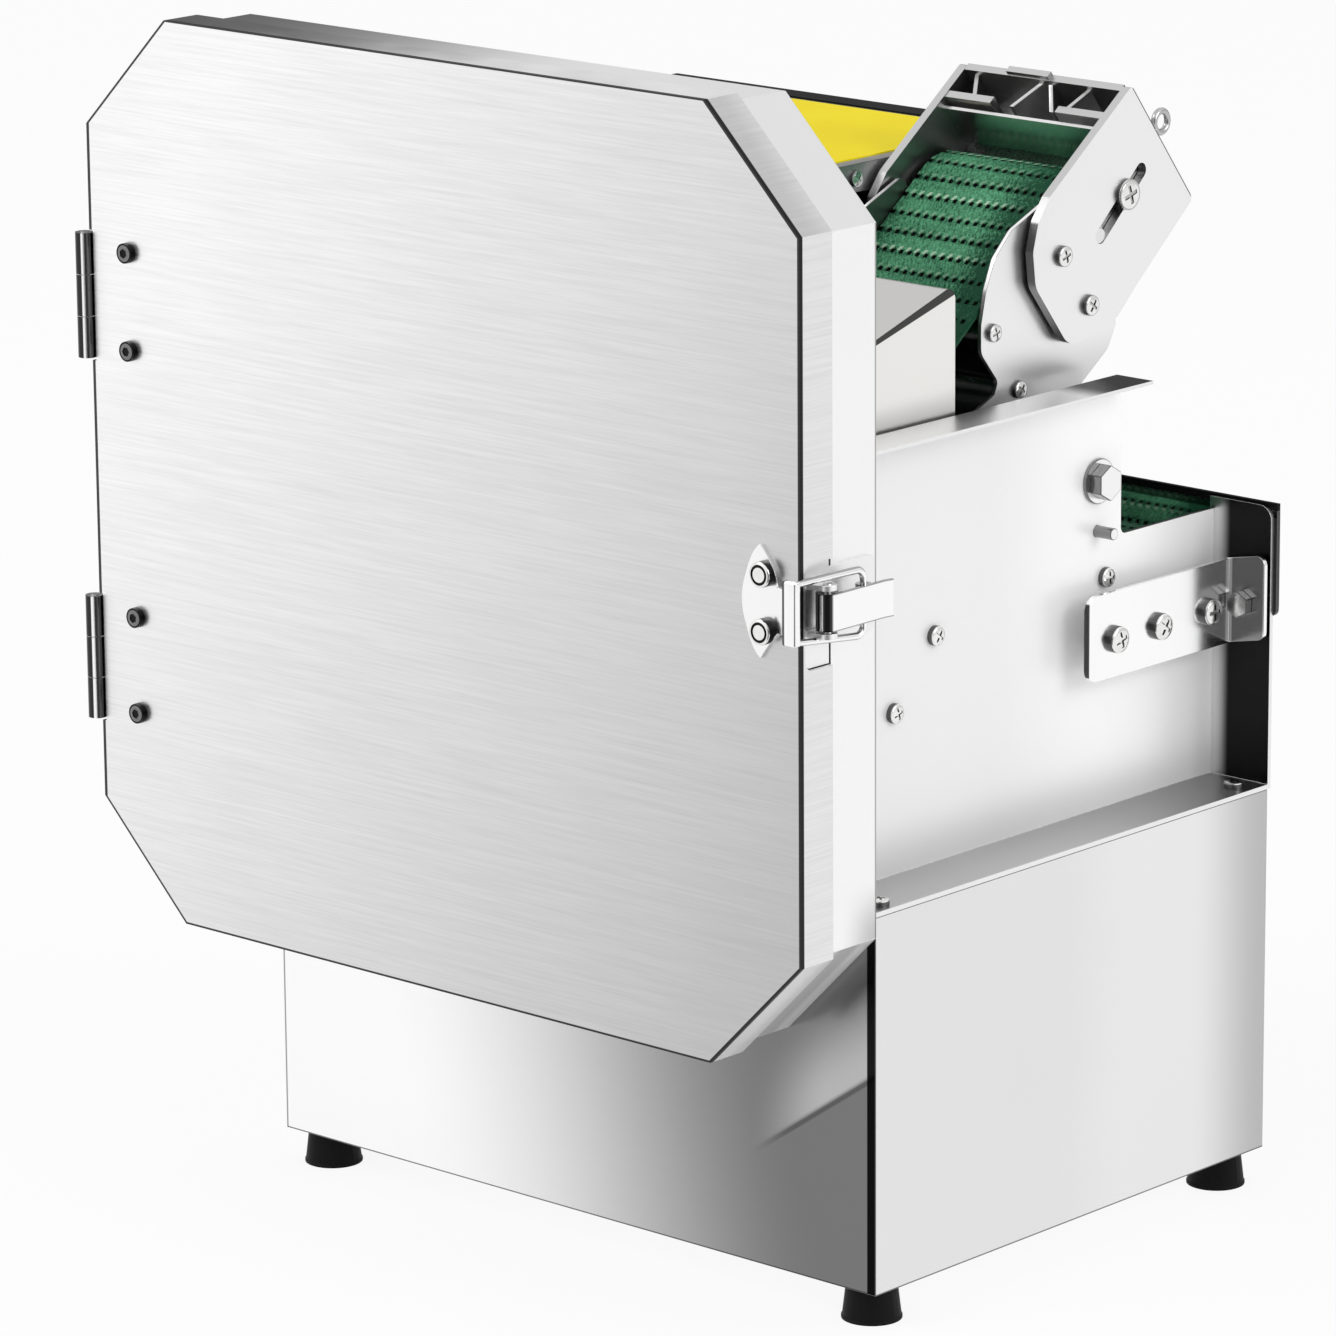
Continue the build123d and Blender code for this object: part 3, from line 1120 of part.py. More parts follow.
def press_side_plates():
    right = CHANNEL_MID + PLATE_SPREAD
    plate = on_press(inner_outline(), right - INNER_PLATE, right)
    y, z = tilted(PRESS_FRONT_A, PRESS_AXIS_B)
    plate -= rod_x(y, z, AXLE + FIT, right - INNER_PLATE - 1, right + 1)
    left_plate = mirrored(plate)
    plate -= rod_x(PIVOT_Y, PIVOT_Z, PIVOT_BOLT + FIT, right - INNER_PLATE - 1, right + 1)
    left = CHANNEL_MID - PLATE_SPREAD
    left_plate -= rod_x(PIVOT_Y, PIVOT_Z, PIVOT_SHAFT + FIT, left - 1, left + INNER_PLATE + 1)
    holes = [press_rod(a, b, TIE_SCREW + FIT, left - 5, right + 5) for a, b in tie_places()]
    return group([plate - holes, left_plate - holes])


def head_outline():
    """Outline of a head plate in the press frame."""
    return soft_area([3, 2, 4, 6, 8, 10, 10, 8, 3],
                     (HEAD_TOP_A, 41.0), (HEAD_TOP_A, 107.0), (55.0, 108.9), (43.6, 106.0), (33.6, 98.7),
                     (26.0, 86.0), (26.0, 50.6), (55.0, 38.0), (72.0, 39.4))


def press_head():
    """Head that joins the two side plates: two thick cheeks and a ribbed cross channel."""
    right = CHANNEL_MID + HEAD_SPREAD
    cheek = on_press(head_outline(), right - HEAD_PLATE, right)
    turn = degrees(atan2(SLOT_RISE, SLOT_RUN))
    middle = Pos(PRESS_REAR_A + SLOT_RUN / 2, PRESS_AXIS_B + SLOT_RISE / 2)
    slot = middle * SlotCenterToCenter(hypot(SLOT_RUN, SLOT_RISE), SLOT_WIDTH, rotation=turn)
    cheek -= on_press(slot, right - HEAD_PLATE - 1, right + 1)
    inner = right - HEAD_PLATE
    other = 2 * CHANNEL_MID - inner
    head = cheek + mirrored(cheek)
    end_wall = Pos(HEAD_TOP_A - HEAD_WALL / 2, CHANNEL_FLOOR_B) * Rectangle(HEAD_WALL, 45)
    head += on_press(end_wall, other, inner)
    head += on_press(Pos(HEAD_TOP_A - 9.5, CHANNEL_FLOOR_B) * Rectangle(19, 3), other, inner)
    for x0, x1 in ((other, other + LIP_LENGTH), (inner - LIP_LENGTH, inner)):
        head += on_press(Pos(LIP_A, 95) * Rectangle(HEAD_WALL, 24), x0, x1)
    head += head_ribs(other, inner)
    strip = Pos(HEAD_TOP_A - HEAD_WALL / 2, CHANNEL_FLOOR_B + 23.5) * Rectangle(3, 2.4)
    head += on_press(strip, CHANNEL_MID - LIP_LENGTH + 6, CHANNEL_MID + 4)
    for a, b in head_screw_places():
        head -= press_rod(a, b, HEAD_SCREW + FIT, other - HEAD_PLATE - 1, right + 1)
    for x in (STRAP_X, 2 * CHANNEL_MID - STRAP_X):
        y, z = tilted(HEAD_TOP_A - 6, EYE_B)
        head -= rod((x, y, z), up_slope(), EYE_ROD + FIT, 8)
    return head


def head_ribs(left, right):
    """Slanted ribs in the cross channel: one near each end and a pair that meets in the middle."""
    wall_a = HEAD_TOP_A - HEAD_WALL
    ribs = []
    for top_x, foot_x in ((left + 4, left + 12), (right - 18, right - 24), (CHANNEL_MID - 2, CHANNEL_MID - 9),
                          (CHANNEL_MID + 2, CHANNEL_MID + 12)):
        plan = area((top_x, wall_a + 1), (top_x + HEAD_RIB, wall_a + 1), (foot_x + HEAD_RIB, LIP_A),
                    (foot_x, LIP_A))
        ribs.append(on_slope(plan, CHANNEL_FLOOR_B, CHANNEL_FLOOR_B + 20))
    return ribs


def up_slope():
    turn = radians(PRESS_TILT)
    return (0, cos(turn), sin(turn))


def press_bed():
    """Slider bed above the pressing run, and the guard in front of the cross channel."""
    left = CHANNEL_MID - PLATE_SPREAD + INNER_PLATE
    right = CHANNEL_MID + PLATE_SPREAD - INNER_PLATE
    low = PRESS_AXIS_B - PRESS_ROLLER + 0.6
    front = PRESS_FRONT_A + PRESS_ROLLER + 3
    back = PRESS_REAR_A - PRESS_ROLLER - 3
    fold = front + SHEET
    section = area((front, low), (back, low), (back, low + SHEET), (fold, low + SHEET), (fold, low + 9),
                   (front, low + 9))
    bed = on_press(section, left, right)
    guard_half = HEAD_SPREAD - HEAD_PLATE
    guard = Pos(LIP_A - 4.75, 94) * Rectangle(SHEET, 20)
    return group([bed, on_press(guard, CHANNEL_MID - guard_half, CHANNEL_MID + guard_half)])


def press_belt():
    inner = PRESS_ROLLER + GAP
    half = PRESS_BELT_WIDTH / 2
    band = loop((PRESS_FRONT_A, PRESS_AXIS_B), inner, (PRESS_REAR_A, PRESS_AXIS_B), inner, BELT)
    return on_press(band, CHANNEL_MID - half, CHANNEL_MID + half)


def press_drive_roller():
    """Driven front roller of the press unit; its shaft reaches into the drive box."""
    y, z = tilted(PRESS_FRONT_A, PRESS_AXIS_B)
    roller = drum(y, z, PRESS_ROLLER, 0, PRESS_BELT_WIDTH)
    roller += rod_x(y, z, AXLE, SPROCKET_X - 3, CHANNEL_MID + PLATE_SPREAD + 1)
    return roller + along_x(Pos(y, z) * sprocket_outline(), SPROCKET_X, SPROCKET_X + SPROCKET_WIDTH)


def press_idler_roller():
    y, z = tilted(PRESS_REAR_A, PRESS_AXIS_B)
    return drum(y, z, PRESS_ROLLER, AXLE + FIT, PRESS_BELT_WIDTH)


def press_cross_rods():
    """Idler axle and the two tie rods between the side plates."""
    left = CHANNEL_MID - PLATE_SPREAD + INNER_PLATE
    right = CHANNEL_MID + PLATE_SPREAD - INNER_PLATE
    cheek = HEAD_SPREAD - HEAD_PLATE
    axle = press_rod(PRESS_REAR_A, PRESS_AXIS_B, AXLE, CHANNEL_MID - cheek, CHANNEL_MID + cheek)
    flat = HEAD_SPREAD - 0.5
    rods = [axle + press_rod(PRESS_REAR_A, PRESS_AXIS_B, 3.0, CHANNEL_MID - flat, CHANNEL_MID + flat)]
    rods += [press_rod(a, b, 4, left, right) for a, b in tie_places()]
    return group(rods)


def tie_places():
    return [(0.3, 86.1), (-2.7, 56.0)]


def head_screw_places():
    return [(45.7, 84.1), (45.4, 55.5)]


def tension_strap():
    """Strap that carries the idler axle, with the eye rod that pulls it up the slope."""
    middle = PRESS_REAR_A + 17
    outline = Pos(middle, PRESS_AXIS_B) * RectangleRounded(48, 15, 3)
    strap = on_press(outline, STRAP_X - STRAP / 2, STRAP_X + STRAP / 2)
    strap -= press_rod(PRESS_REAR_A, PRESS_AXIS_B, AXLE + FIT, STRAP_X - STRAP, STRAP_X + STRAP)
    strap -= press_rod(CLAMP_A, CLAMP_B, LARGE_SCREW + FIT, STRAP_X - STRAP, STRAP_X + STRAP)
    y, z = tilted(middle + 20, EYE_B)
    strap += rod((STRAP_X, y, z), up_slope(), EYE_ROD, HEAD_TOP_A + 5 - middle - 20)
    y, z = tilted(HEAD_TOP_A + 9, EYE_B)
    eye = Plane(origin=(STRAP_X, y, z), z_dir=(1, 0, 0)) * Torus(EYE_RADIUS, EYE_ROD)
    return strap + eye


def press_fasteners():
    """Screws of the press unit, head spacers, clamp screws and the two tension straps with eyes."""
    side = CHANNEL_MID + PLATE_SPREAD
    cheek = CHANNEL_MID + HEAD_SPREAD
    pieces = [tension_strap()]
    for a, b in tie_places():
        y, z = tilted(a, b)
        pieces.append(screw((side, y, z), (1, 0, 0), (3.6, 1.8), (TIE_SCREW, INNER_PLATE)))
    for a, b in head_screw_places():
        y, z = tilted(a, b)
        pieces.append(screw((cheek, y, z), (1, 0, 0), (4.2, 2.0), (HEAD_SCREW, HEAD_PLATE)))
        pieces.append(rod_x(y, z, 5, side, cheek - HEAD_PLATE))
    y, z = tilted(CLAMP_A, CLAMP_B)
    shank = (LARGE_SCREW, HEAD_PLATE + GAP + STRAP)
    pieces.append(screw((cheek, y, z), (1, 0, 0), (6.3, 2.0), shank))
    others = [mirrored(piece) for piece in pieces]
    return group(pieces + others)


# Small fasteners, controls and gland

def pan_screws():
    """Small screws of the frame: lid, web, bracket, flange, hinge leaves and feet."""
    pieces = []
    for x, y, z in web_screw_places():
        pieces.append(screw((x, y, z), (1, 0, 0), (4.0, 2.6), (SMALL_SCREW, PLATE)))
    for x, y, z in bracket_screw_places():
        pieces.append(screw((x, y, z), (1, 0, 0), (5.5, 3.0), (LARGE_SCREW, BRACKET_OUT - WEB_OUT)))
    for x, y, z in flange_screw_places():
        pieces.append(screw((x, y, z), (0, 0, 1), (4.0, 2.4), (SMALL_SCREW, PLATE)))
    lid_z = LID_TOP - LID_FLANGE / 2
    lid_middle = (HOUSING_BACK + BASE_BACK) / 2 + 12.3
    for y in (HOUSING_BACK + 39.7, lid_middle, BASE_BACK - 17.1):
        pieces.append(rod((LID_RIGHT, y, lid_z), (1, 0, 0), 3.2, 1.8))
        pieces.append(rod((LID_LEFT, y, lid_z), (-1, 0, 0), 3.2, 1.8))
    for z in hinge_heights():
        for shift in (-16.0, 16.0):
            pieces.append(rod((HOUSING_LEFT - SHEET, RIM_BACK + 16, z + shift), (-1, 0, 0), 3.2, 1.6))
    for x, y in foot_places():
        pieces.append(screw((x, y, FOOT_RECESS_DEPTH), (0, 0, -1), (5.0, 3.0), (FOOT_SCREW, FOOT_HEIGHT)))
    return group(pieces)


def control_holes():
    return [(START_Y, CONTROL_Z, BUTTON + 1.5), (STOP_Y, CONTROL_Z, BUTTON + 1.5),
            (KNOB_Y, CONTROL_Z, SPINDLE + GAP)]


def button_bezels():
    """Threaded collars of the two push buttons."""
    pieces = []
    for y in (START_Y, STOP_Y):
        collar = rod_x(y, CONTROL_Z, BEZEL, BASE_LEFT - BEZEL_HEIGHT, BASE_LEFT)
        collar += rod_x(y, CONTROL_Z, BUTTON + 1.4, BASE_LEFT, BASE_LEFT + 22)
        pieces.append(collar - rod_x(y, CONTROL_Z, BUTTON + GAP, BASE_LEFT - 4, BASE_LEFT + 18))
    return group(pieces)


def push_button(y):
    front = BASE_LEFT - BEZEL_HEIGHT - BUTTON_TRAVEL - 1
    cap = rod_x(y, CONTROL_Z, BUTTON, front, BASE_LEFT + 12)
    return fillet(cap.edges().filter_by(GeomType.CIRCLE).sort_by(Axis.X)[0], 1)


def speed_knob():
    """Fluted knob with its spindle through the cover."""
    outline = Circle(KNOB)
    for index in range(12):
        turn = radians(30 * index)
        outline -= Pos((KNOB + 1) * cos(turn), (KNOB + 1) * sin(turn)) * Circle(2)
    knob = along_x(Pos(KNOB_Y, CONTROL_Z) * outline, BASE_LEFT - KNOB_HEIGHT, BASE_LEFT - 1)
    return knob + rod_x(KNOB_Y, CONTROL_Z, SPINDLE, BASE_LEFT - 2, BASE_LEFT + 10)


def cable_gland():
    gland = hexagon((GLAND_X, BASE_BACK, GLAND_Z), (0, 1, 0), 20, 4)
    gland += rod_y(GLAND_X, GLAND_Z, GLAND_THREAD, BASE_BACK - 8, BASE_BACK + 4)
    return gland - rod_y(GLAND_X, GLAND_Z, GLAND_BORE, BASE_BACK - 9, BASE_BACK + 5)


def nodes():
    """Every piece of the machine by name."""
    return {
        "base_box": base_box(),
        "base_bottom": base_bottom(),
        "rubber_feet": rubber_feet(),
        "right_side_panel": right_side_panel(),
        "channel_wall": channel_wall(),
        "drive_box_cover": drive_box_cover(),
        "drive_box_lid": drive_box_lid(),
        "edge_trims": edge_trims(),
        "notice_plate": notice_plate(),
        "rear_guard": rear_guard(),
        "knife_housing": knife_housing(),
        "door_seal": door_seal(),
        "mouth_plate": mouth_plate(),
        "door_pan": door_pan(),
        "inlet_hood": inlet_hood(),
        "frame_hinge_leaves": frame_hinge_leaves(),
        "door_hinge_leaves": door_hinge_leaves(),
        "pivot_pins": pivot_pins(),
        "hinge_screws": hinge_screws(),
        "latch_catch": latch_catch(),
        "catch_bolts": catch_bolts(),
        "latch_base": latch_base(),
        "latch_lever": latch_lever(),
        "latch_bail": latch_bail(),
        "knife_shaft": knife_shaft(),
        "knife_carrier": knife_carrier(),
        "knife_blades": knife_blades(),
        "knife_fasteners": knife_fasteners(),
        "bearings": bearings(),
        "bearing_bracket": bearing_bracket(),
        "knife_pulley": knife_pulley(),
        "motor_pulley": motor_pulley(),
        "drive_belt": drive_belt(),
        "knife_motor": knife_motor(),
        "motor_gear": motor_gear(),
        "pivot_shaft": pivot_shaft(),
        "feed_gearmotor": feed_gearmotor(),
        "drive_chain": drive_chain(),
        "press_chain": press_chain(),
        "feed_drive_roller": feed_drive_roller(),
        "tail_roller": tail_roller(),
        "tail_axle": tail_axle(),
        "feed_belt": feed_belt(),
        "feed_bed": feed_bed(),
        "tension_bracket": tension_bracket(),
        "panel_hardware": panel_hardware(),
        "press_side_plates": press_side_plates(),
        "press_head": press_head(),
        "press_bed": press_bed(),
        "press_belt": press_belt(),
        "press_drive_roller": press_drive_roller(),
        "press_idler_roller": press_idler_roller(),
        "press_cross_rods": press_cross_rods(),
        "press_fasteners": press_fasteners(),
        "pan_screws": pan_screws(),
        "button_bezels": button_bezels(),
        "start_button": push_button(START_Y),
        "stop_button": push_button(STOP_Y),
        "speed_knob": speed_knob(),
        "cable_gland": cable_gland(),
    }


os.makedirs("parts", exist_ok=True)
for name, shape in nodes().items():
    export_step(shape, f"parts/{name}.step")
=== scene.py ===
import json
import math

import bmesh
import bpy
from mathutils import Matrix, Vector


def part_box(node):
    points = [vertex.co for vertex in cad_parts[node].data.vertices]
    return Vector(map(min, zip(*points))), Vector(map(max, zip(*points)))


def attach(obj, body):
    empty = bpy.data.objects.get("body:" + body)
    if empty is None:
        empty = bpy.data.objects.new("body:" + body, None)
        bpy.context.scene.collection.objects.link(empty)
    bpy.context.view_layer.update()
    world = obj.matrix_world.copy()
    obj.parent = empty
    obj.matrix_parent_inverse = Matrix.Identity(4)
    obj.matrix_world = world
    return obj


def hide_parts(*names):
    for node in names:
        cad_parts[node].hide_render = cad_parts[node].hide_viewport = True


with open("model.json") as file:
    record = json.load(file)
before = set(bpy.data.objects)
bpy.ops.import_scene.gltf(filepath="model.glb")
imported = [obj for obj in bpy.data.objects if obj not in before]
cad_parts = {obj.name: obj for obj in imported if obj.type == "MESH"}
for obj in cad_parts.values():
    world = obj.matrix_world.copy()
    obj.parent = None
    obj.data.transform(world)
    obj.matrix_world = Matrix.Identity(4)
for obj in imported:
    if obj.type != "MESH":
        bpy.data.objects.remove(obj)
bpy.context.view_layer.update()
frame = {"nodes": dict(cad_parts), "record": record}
NODES = frame["nodes"]
BODY_OF = {node: body for body, members in frame["record"]["behaviour"]["bodies"].items() for node in members}
SLOT_OF = {part["node"]: part["material_slot"] for part in frame["record"]["subparts"]}
MM = 0.001
MERGE = 0.001 * MM


# Places on the machine, in metres

def corners(node):
    """Low and high corner of a node's box."""
    return [Vector(corner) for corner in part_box(node)]


def middle(node):
    """Middle of a node's box, to the micrometre."""
    return [round((low + high) / 2, 6) for low, high in zip(*corners(node))]


DOOR_LOW, DOOR_HIGH = corners("door_pan")
DOOR_CORNER = 33.6 * MM  # from the box's corner to the slanted edge
HOUSING_BACK = corners("knife_housing")[1].y
BASE_LOW, BASE_HIGH = corners("base_box")
PANEL_LOW, PANEL_HIGH = corners("right_side_panel")
BRACKET_LOW, BRACKET_HIGH = corners("tension_bracket")
GUARD_HIGH = corners("rear_guard")[1]
LEVER_FRONT = corners("latch_lever")[0].y
HINGE_BACK = corners("door_hinge_leaves")[1].y
CHANNEL_MID = middle("feed_belt")[0]
LATCH_Z = middle("latch_lever")[2]
CATCH_Z = middle("latch_catch")[2]
BAR_SIZE = Vector((7, 3.8, 29.4)) * MM
BAR_MIDDLE = Vector((195.8 * MM, -154.1 * MM, LATCH_Z))
BAR_LOW = BAR_MIDDLE - BAR_SIZE / 2
PIVOT_Y, PIVOT_Z = 74 * MM, 312 * MM
PRESS_TILT = math.radians(38)
SLOPE_COS, SLOPE_SIN = math.cos(PRESS_TILT), math.sin(PRESS_TILT)

RIGHT = (1, 0, 0)
LEFT = (-1, 0, 0)
FRONT = (0, -1, 0)
UP = (0, 0, 1)


def on_slope(along, across, side):
    """Place on the press unit: millimetres along its slope, square to it, and right of its middle."""
    return (CHANNEL_MID + side * MM, PIVOT_Y + (along * SLOPE_COS - across * SLOPE_SIN) * MM,
            PIVOT_Z + (along * SLOPE_SIN + across * SLOPE_COS) * MM)


# Shader maths

class Value:
    """A number that varies over a surface. Each operator adds a Math node."""

    def __init__(self, finish, socket):
        self.finish = finish
        self.socket = socket

    def __add__(self, other):
        return self.finish.math("ADD", self, other)

    def __sub__(self, other):
        return self.finish.math("SUBTRACT", self, other)

    def __rsub__(self, other):
        return self.finish.math("SUBTRACT", other, self)

    def __mul__(self, other):
        return self.finish.math("MULTIPLY", self, other)

    def __truediv__(self, other):
        return self.finish.math("DIVIDE", self, other)

    def __neg__(self):
        return 0 - self

    def __abs__(self):
        return self.finish.math("ABSOLUTE", self)

    __radd__ = __add__
    __rmul__ = __mul__


class Finish:
    """A material with a Principled shader and short ways to add nodes to it."""

    def __init__(self, name, **sockets):
        self.material = bpy.data.materials.new(name)
        self.material.use_nodes = True
        self.tree = self.material.node_tree
        self.shader = self.tree.nodes["Principled BSDF"]
        for label, value in sockets.items():
            self.shader.inputs[label.replace("_", " ")].default_value = value

    def node(self, kind, settings=None, inputs=None):
        made = self.tree.nodes.new(kind)
        for label, value in (settings or {}).items():
            setattr(made, label, value)
        for label, value in (inputs or {}).items():
            self.join(made.inputs[label], value)
        return made

    def join(self, socket, value):
        if isinstance(value, Value):
            value = value.socket
        if isinstance(value, bpy.types.NodeSocket):
            self.tree.links.new(value, socket)
        else:
            socket.default_value = value

    def math(self, operation, *values):
        made = self.node("ShaderNodeMath", {"operation": operation}, dict(enumerate(values)))
        return Value(self, made.outputs[0])

    def larger(self, first, second):
        return self.math("MAXIMUM", first, second)

    def smaller(self, first, second):
        return self.math("MINIMUM", first, second)

    def rise(self, value, low, high):
        """0 below low, 1 above high, smooth between them."""
        inputs = {"Value": value, "From Min": low, "From Max": high}
        made = self.node("ShaderNodeMapRange", {"interpolation_type": "SMOOTHSTEP"}, inputs)
        return Value(self, made.outputs["Result"])

    def fall(self, value, low, high):
        """1 below low, 0 above high, smooth between them."""
        return 1 - self.rise(value, low, high)

    def band(self, value, low, high, blur):
        """1 between low and high, 0 outside, with blurred limits."""
        return self.rise(value, low - blur, low) * self.fall(value, high, high + blur)

    def split(self, vector):
        parts = self.node("ShaderNodeSeparateXYZ", None, {"Vector": vector})
        return [Value(self, parts.outputs[axis]) for axis in "XYZ"]

    def place(self):
        return self.split(self.node("ShaderNodeTexCoord").outputs["Object"])

    def facing(self):
        """The face's own direction, which turns with its piece."""
        return self.split(self.node("ShaderNodeTexCoord").outputs["Normal"])

    def surface(self):
        return self.split(self.node("ShaderNodeUVMap").outputs["UV"])

    def vector(self, x, y, z):
        return self.node("ShaderNodeCombineXYZ", None, {"X": x, "Y": y, "Z": z}).outputs[0]

    def noise(self, vector, detail=2.0, roughness=0.5, scale=1.0):
        inputs = {"Vector": vector, "Scale": scale, "Detail": detail, "Roughness": roughness}
        return Value(self, self.node("ShaderNodeTexNoise", None, inputs).outputs["Fac"])

    def speckle(self, scale, detail=2.0):
        """Noise with this many spots to a metre."""
        return self.noise(self.node("ShaderNodeTexCoord").outputs["Object"], detail, scale=scale)

    def blend(self, factor, low, high):
        made = self.node("ShaderNodeMix", {"data_type": "RGBA"})
        self.join(made.inputs[0], factor)
        for socket, value in ((made.inputs[6], low), (made.inputs[7], high)):
            self.join(socket, (*value, 1.0) if isinstance(value, tuple) else value)
        return made.outputs[2]

    def feed(self, label, value):
        self.join(self.shader.inputs[label], value)

    def bump(self, height, distance, strength=1.0):
        inputs = {"Height": height, "Distance": distance, "Strength": strength}
        self.feed("Normal", self.node("ShaderNodeBump", None, inputs).outputs["Normal"])


def scaled(colour, factor):
    return tuple(channel * factor for channel in colour)


def grey(level):
    return (level, level, level)


BLACK = grey(0.0)
WHITE = grey(1.0)
WARM_WHITE = (1.0, 0.99, 0.965)


# Sheet metal

# How squarely a face looks along an axis: limits for that part of its direction
SQUARE = (0.9, 0.98)
FRONTAL = (0.8, 0.97)
NEARLY = (0.7, 0.9)
SLANTED = (0.5, 0.65)
TILTED = (0.3, 0.6)


def steel(name, tone, roughness=0.25, grain=0.0, mottle=0.04, shade=None, tint=WHITE, milky=None):
    """Stainless sheet, brushed where it has grain. shade paints light and shade into its colour by place, in
    place of mirrored surroundings, and milky makes it less of a mirror."""
    finish = Finish(name, Metallic=1.0)
    x, y, z = finish.place()
    clouds = finish.speckle(14.0, 3.0)
    level = (clouds - 0.5) * (2 * mottle) + 1
    if grain:
        fine = finish.noise(finish.vector(x * 22, y * 22, z * 1000), 3.0, 0.65)
        wide = finish.noise(finish.vector(x * 9 + 3, y * 9, z * 420))
        level = level + (fine - 0.5) * (3.4 * grain) + (wide - 0.5) * (0.8 * grain)
    else:
        fine = finish.speckle(900.0)
        level = level + (fine - 0.5) * 0.03
    # Painted light and shade: the shade function scales the colour by place.
    if shade:
        level = level * shade(finish, x, y, z)
    finish.feed("Base Color", finish.blend(level * tone, BLACK, tint))
    if milky:
        finish.feed("Metallic", 1 - milky(finish, x, y, z))
    finish.feed("Roughness", (fine - 0.5) * (0.1 + grain) + roughness)
    finish.bump(fine, 0.02 * MM, 0.1 + 2 * grain)
    return finish.material


def low_corner(finish, nx, nz):
    """1 on slanted faces that look down to the right."""
    return finish.rise(-nz, *SLANTED) * finish.rise(nx, *SLANTED)


def low_corner_haze(finish, x, y, z):
    """The slanted faces that look down to the right are a little milky, and so is the top to the right."""
    nx, ny, nz = finish.facing()
    top = finish.rise(nz, *SQUARE) * finish.rise(x, -0.1, 0.06)
    return 0.62 * low_corner(finish, nx, nz) + 0.75 * top


def on_web(finish, x):
    """1 on the side panel's web, 0 on its flanges."""
    return finish.fall(x, 0.165, 0.166)


def web_haze(finish, x, y, z):
    nx, ny, nz = finish.facing()
    return 0.78 * finish.rise(nx, *SQUARE) * on_web(finish, x)


def door_shade(finish, x, y, z):
    """Painted reflection and shade: lighter towards the hinges, dark lines along its outline and where the
    face turns into the rim, and rims darkened face by face.
    """
    nx, ny, nz = finish.facing()
    front = finish.rise(-ny, *FRONTAL)
    across = finish.smaller(0.77 - x * 0.85 + (z - 0.31) * 0.6, 0.965)
    side, top, bottom = DOOR_HIGH.x - abs(x), DOOR_HIGH.z - z, z - DOOR_LOW.z
    corner = finish.smaller(side + top, side + bottom) * math.sqrt(0.5) - DOOR_CORNER
    upright_edge = side * (0.55 + 0.3 * finish.rise(x, -0.1, 0.0))
    edge = finish.smaller(finish.smaller(upright_edge, corner * 0.9), finish.smaller(top * 1.5, bottom))
    outline = finish.fall(edge, 0.8 * MM, 1 * MM)

    depth = y - DOOR_LOW.y
    line = finish.fall(depth, 1.7 * MM, 2.2 * MM) * finish.fall(ny, 0.5, 0.9)
    flat = finish.rise(nz, *SQUARE)
    slanted = finish.rise(nz, *TILTED) * (1 - flat)
    down = finish.rise(-nz, *SLANTED)
    below = down * (1.12 - 0.3 * finish.rise(depth, 4 * MM, 18 * MM))
    upright = finish.larger(0.79 * (1 - down), below)
    rim = upright * (1 - slanted) + (0.53 + 0.12 * finish.rise(depth, 6 * MM, 22 * MM)) * slanted
    rim = rim * (1 - flat) + (0.17 + 0.83 * finish.rise(x, -0.165, 0.07)) * flat
    return across * front * (1 - outline * 0.93) + rim * (1 - front) * (1 - line * 0.97)


def housing_shade(finish, x, y, z):
    """Painted shade: a dark left top, a shadow line at the back edge, and soft shade on the slanted corners.
    """
    nx, ny, nz = finish.facing()
    behind = HOUSING_BACK - y
    flat = finish.rise(nz, *SQUARE)
    right = finish.rise(nx, *SQUARE)
    slanted = 1 - 0.2 * finish.rise(nz, *TILTED) * (1 - flat)
    left = 1 - 0.8 * flat * finish.fall(x, -0.165, 0.05)
    back = 1 - 0.6 * right * finish.fall(behind, 0.8 * MM, 1.1 * MM)
    low = 1 - 0.4 * right * finish.fall(z, 0.163, 0.19) * finish.fall(behind, 0.3 * MM, 22.3 * MM)
    stripe = finish.band(behind, 12.3 * MM, 19.3 * MM, 6 * MM)
    corner = 1 - low_corner(finish, nx, nz) * (0.05 + 0.3 * stripe)
    return slanted * left * back * low * corner


def base_shade(finish, x, y, z):
    """Painted reflection: the front is light on its left and dark on its right with a light streak, as if it
    mirrored the room, and the corner's fold is painted black; the side darkens towards the back and a dark
    line runs along the foot.
    """
    nx, ny, nz = finish.facing()
    front = finish.rise(-ny, *FRONTAL)
    dark = finish.rise(x + z * 0.25, -0.06, 0.17)
    height = z - 0.0658 - (x - 0.131) * 0.686
    streak = finish.rise(height, -1 * MM, 2 * MM) * finish.fall(height, 3 * MM, 45 * MM)
    streak = streak * finish.rise(x, 0.124, 0.168)
    under = finish.band(height, -2 * MM, -0.6 * MM, 1 * MM) * finish.rise(x, 0.124, 0.15)
    panel = 1.25 - 1.01 * dark + 0.36 * streak - 0.1 * under
    right_fold = 1 - 0.98 * finish.fall(BASE_HIGH.x - x, 4.2 * MM, 4.6 * MM)
    left_edge = 1 - 0.65 * finish.fall(x - BASE_LOW.x, 0.8 * MM, 1.2 * MM)
    side = 1 - 0.36 * finish.rise(y, 0.1, BASE_HIGH.y) + 0.06 * finish.band(y, 0.06, 0.1, 0.05)
    foot = 1 - 0.75 * finish.fall(z - BASE_LOW.z, 0.6 * MM, 0.8 * MM)
    return (panel * right_fold * left_edge * front + side * (1 - front)) * foot


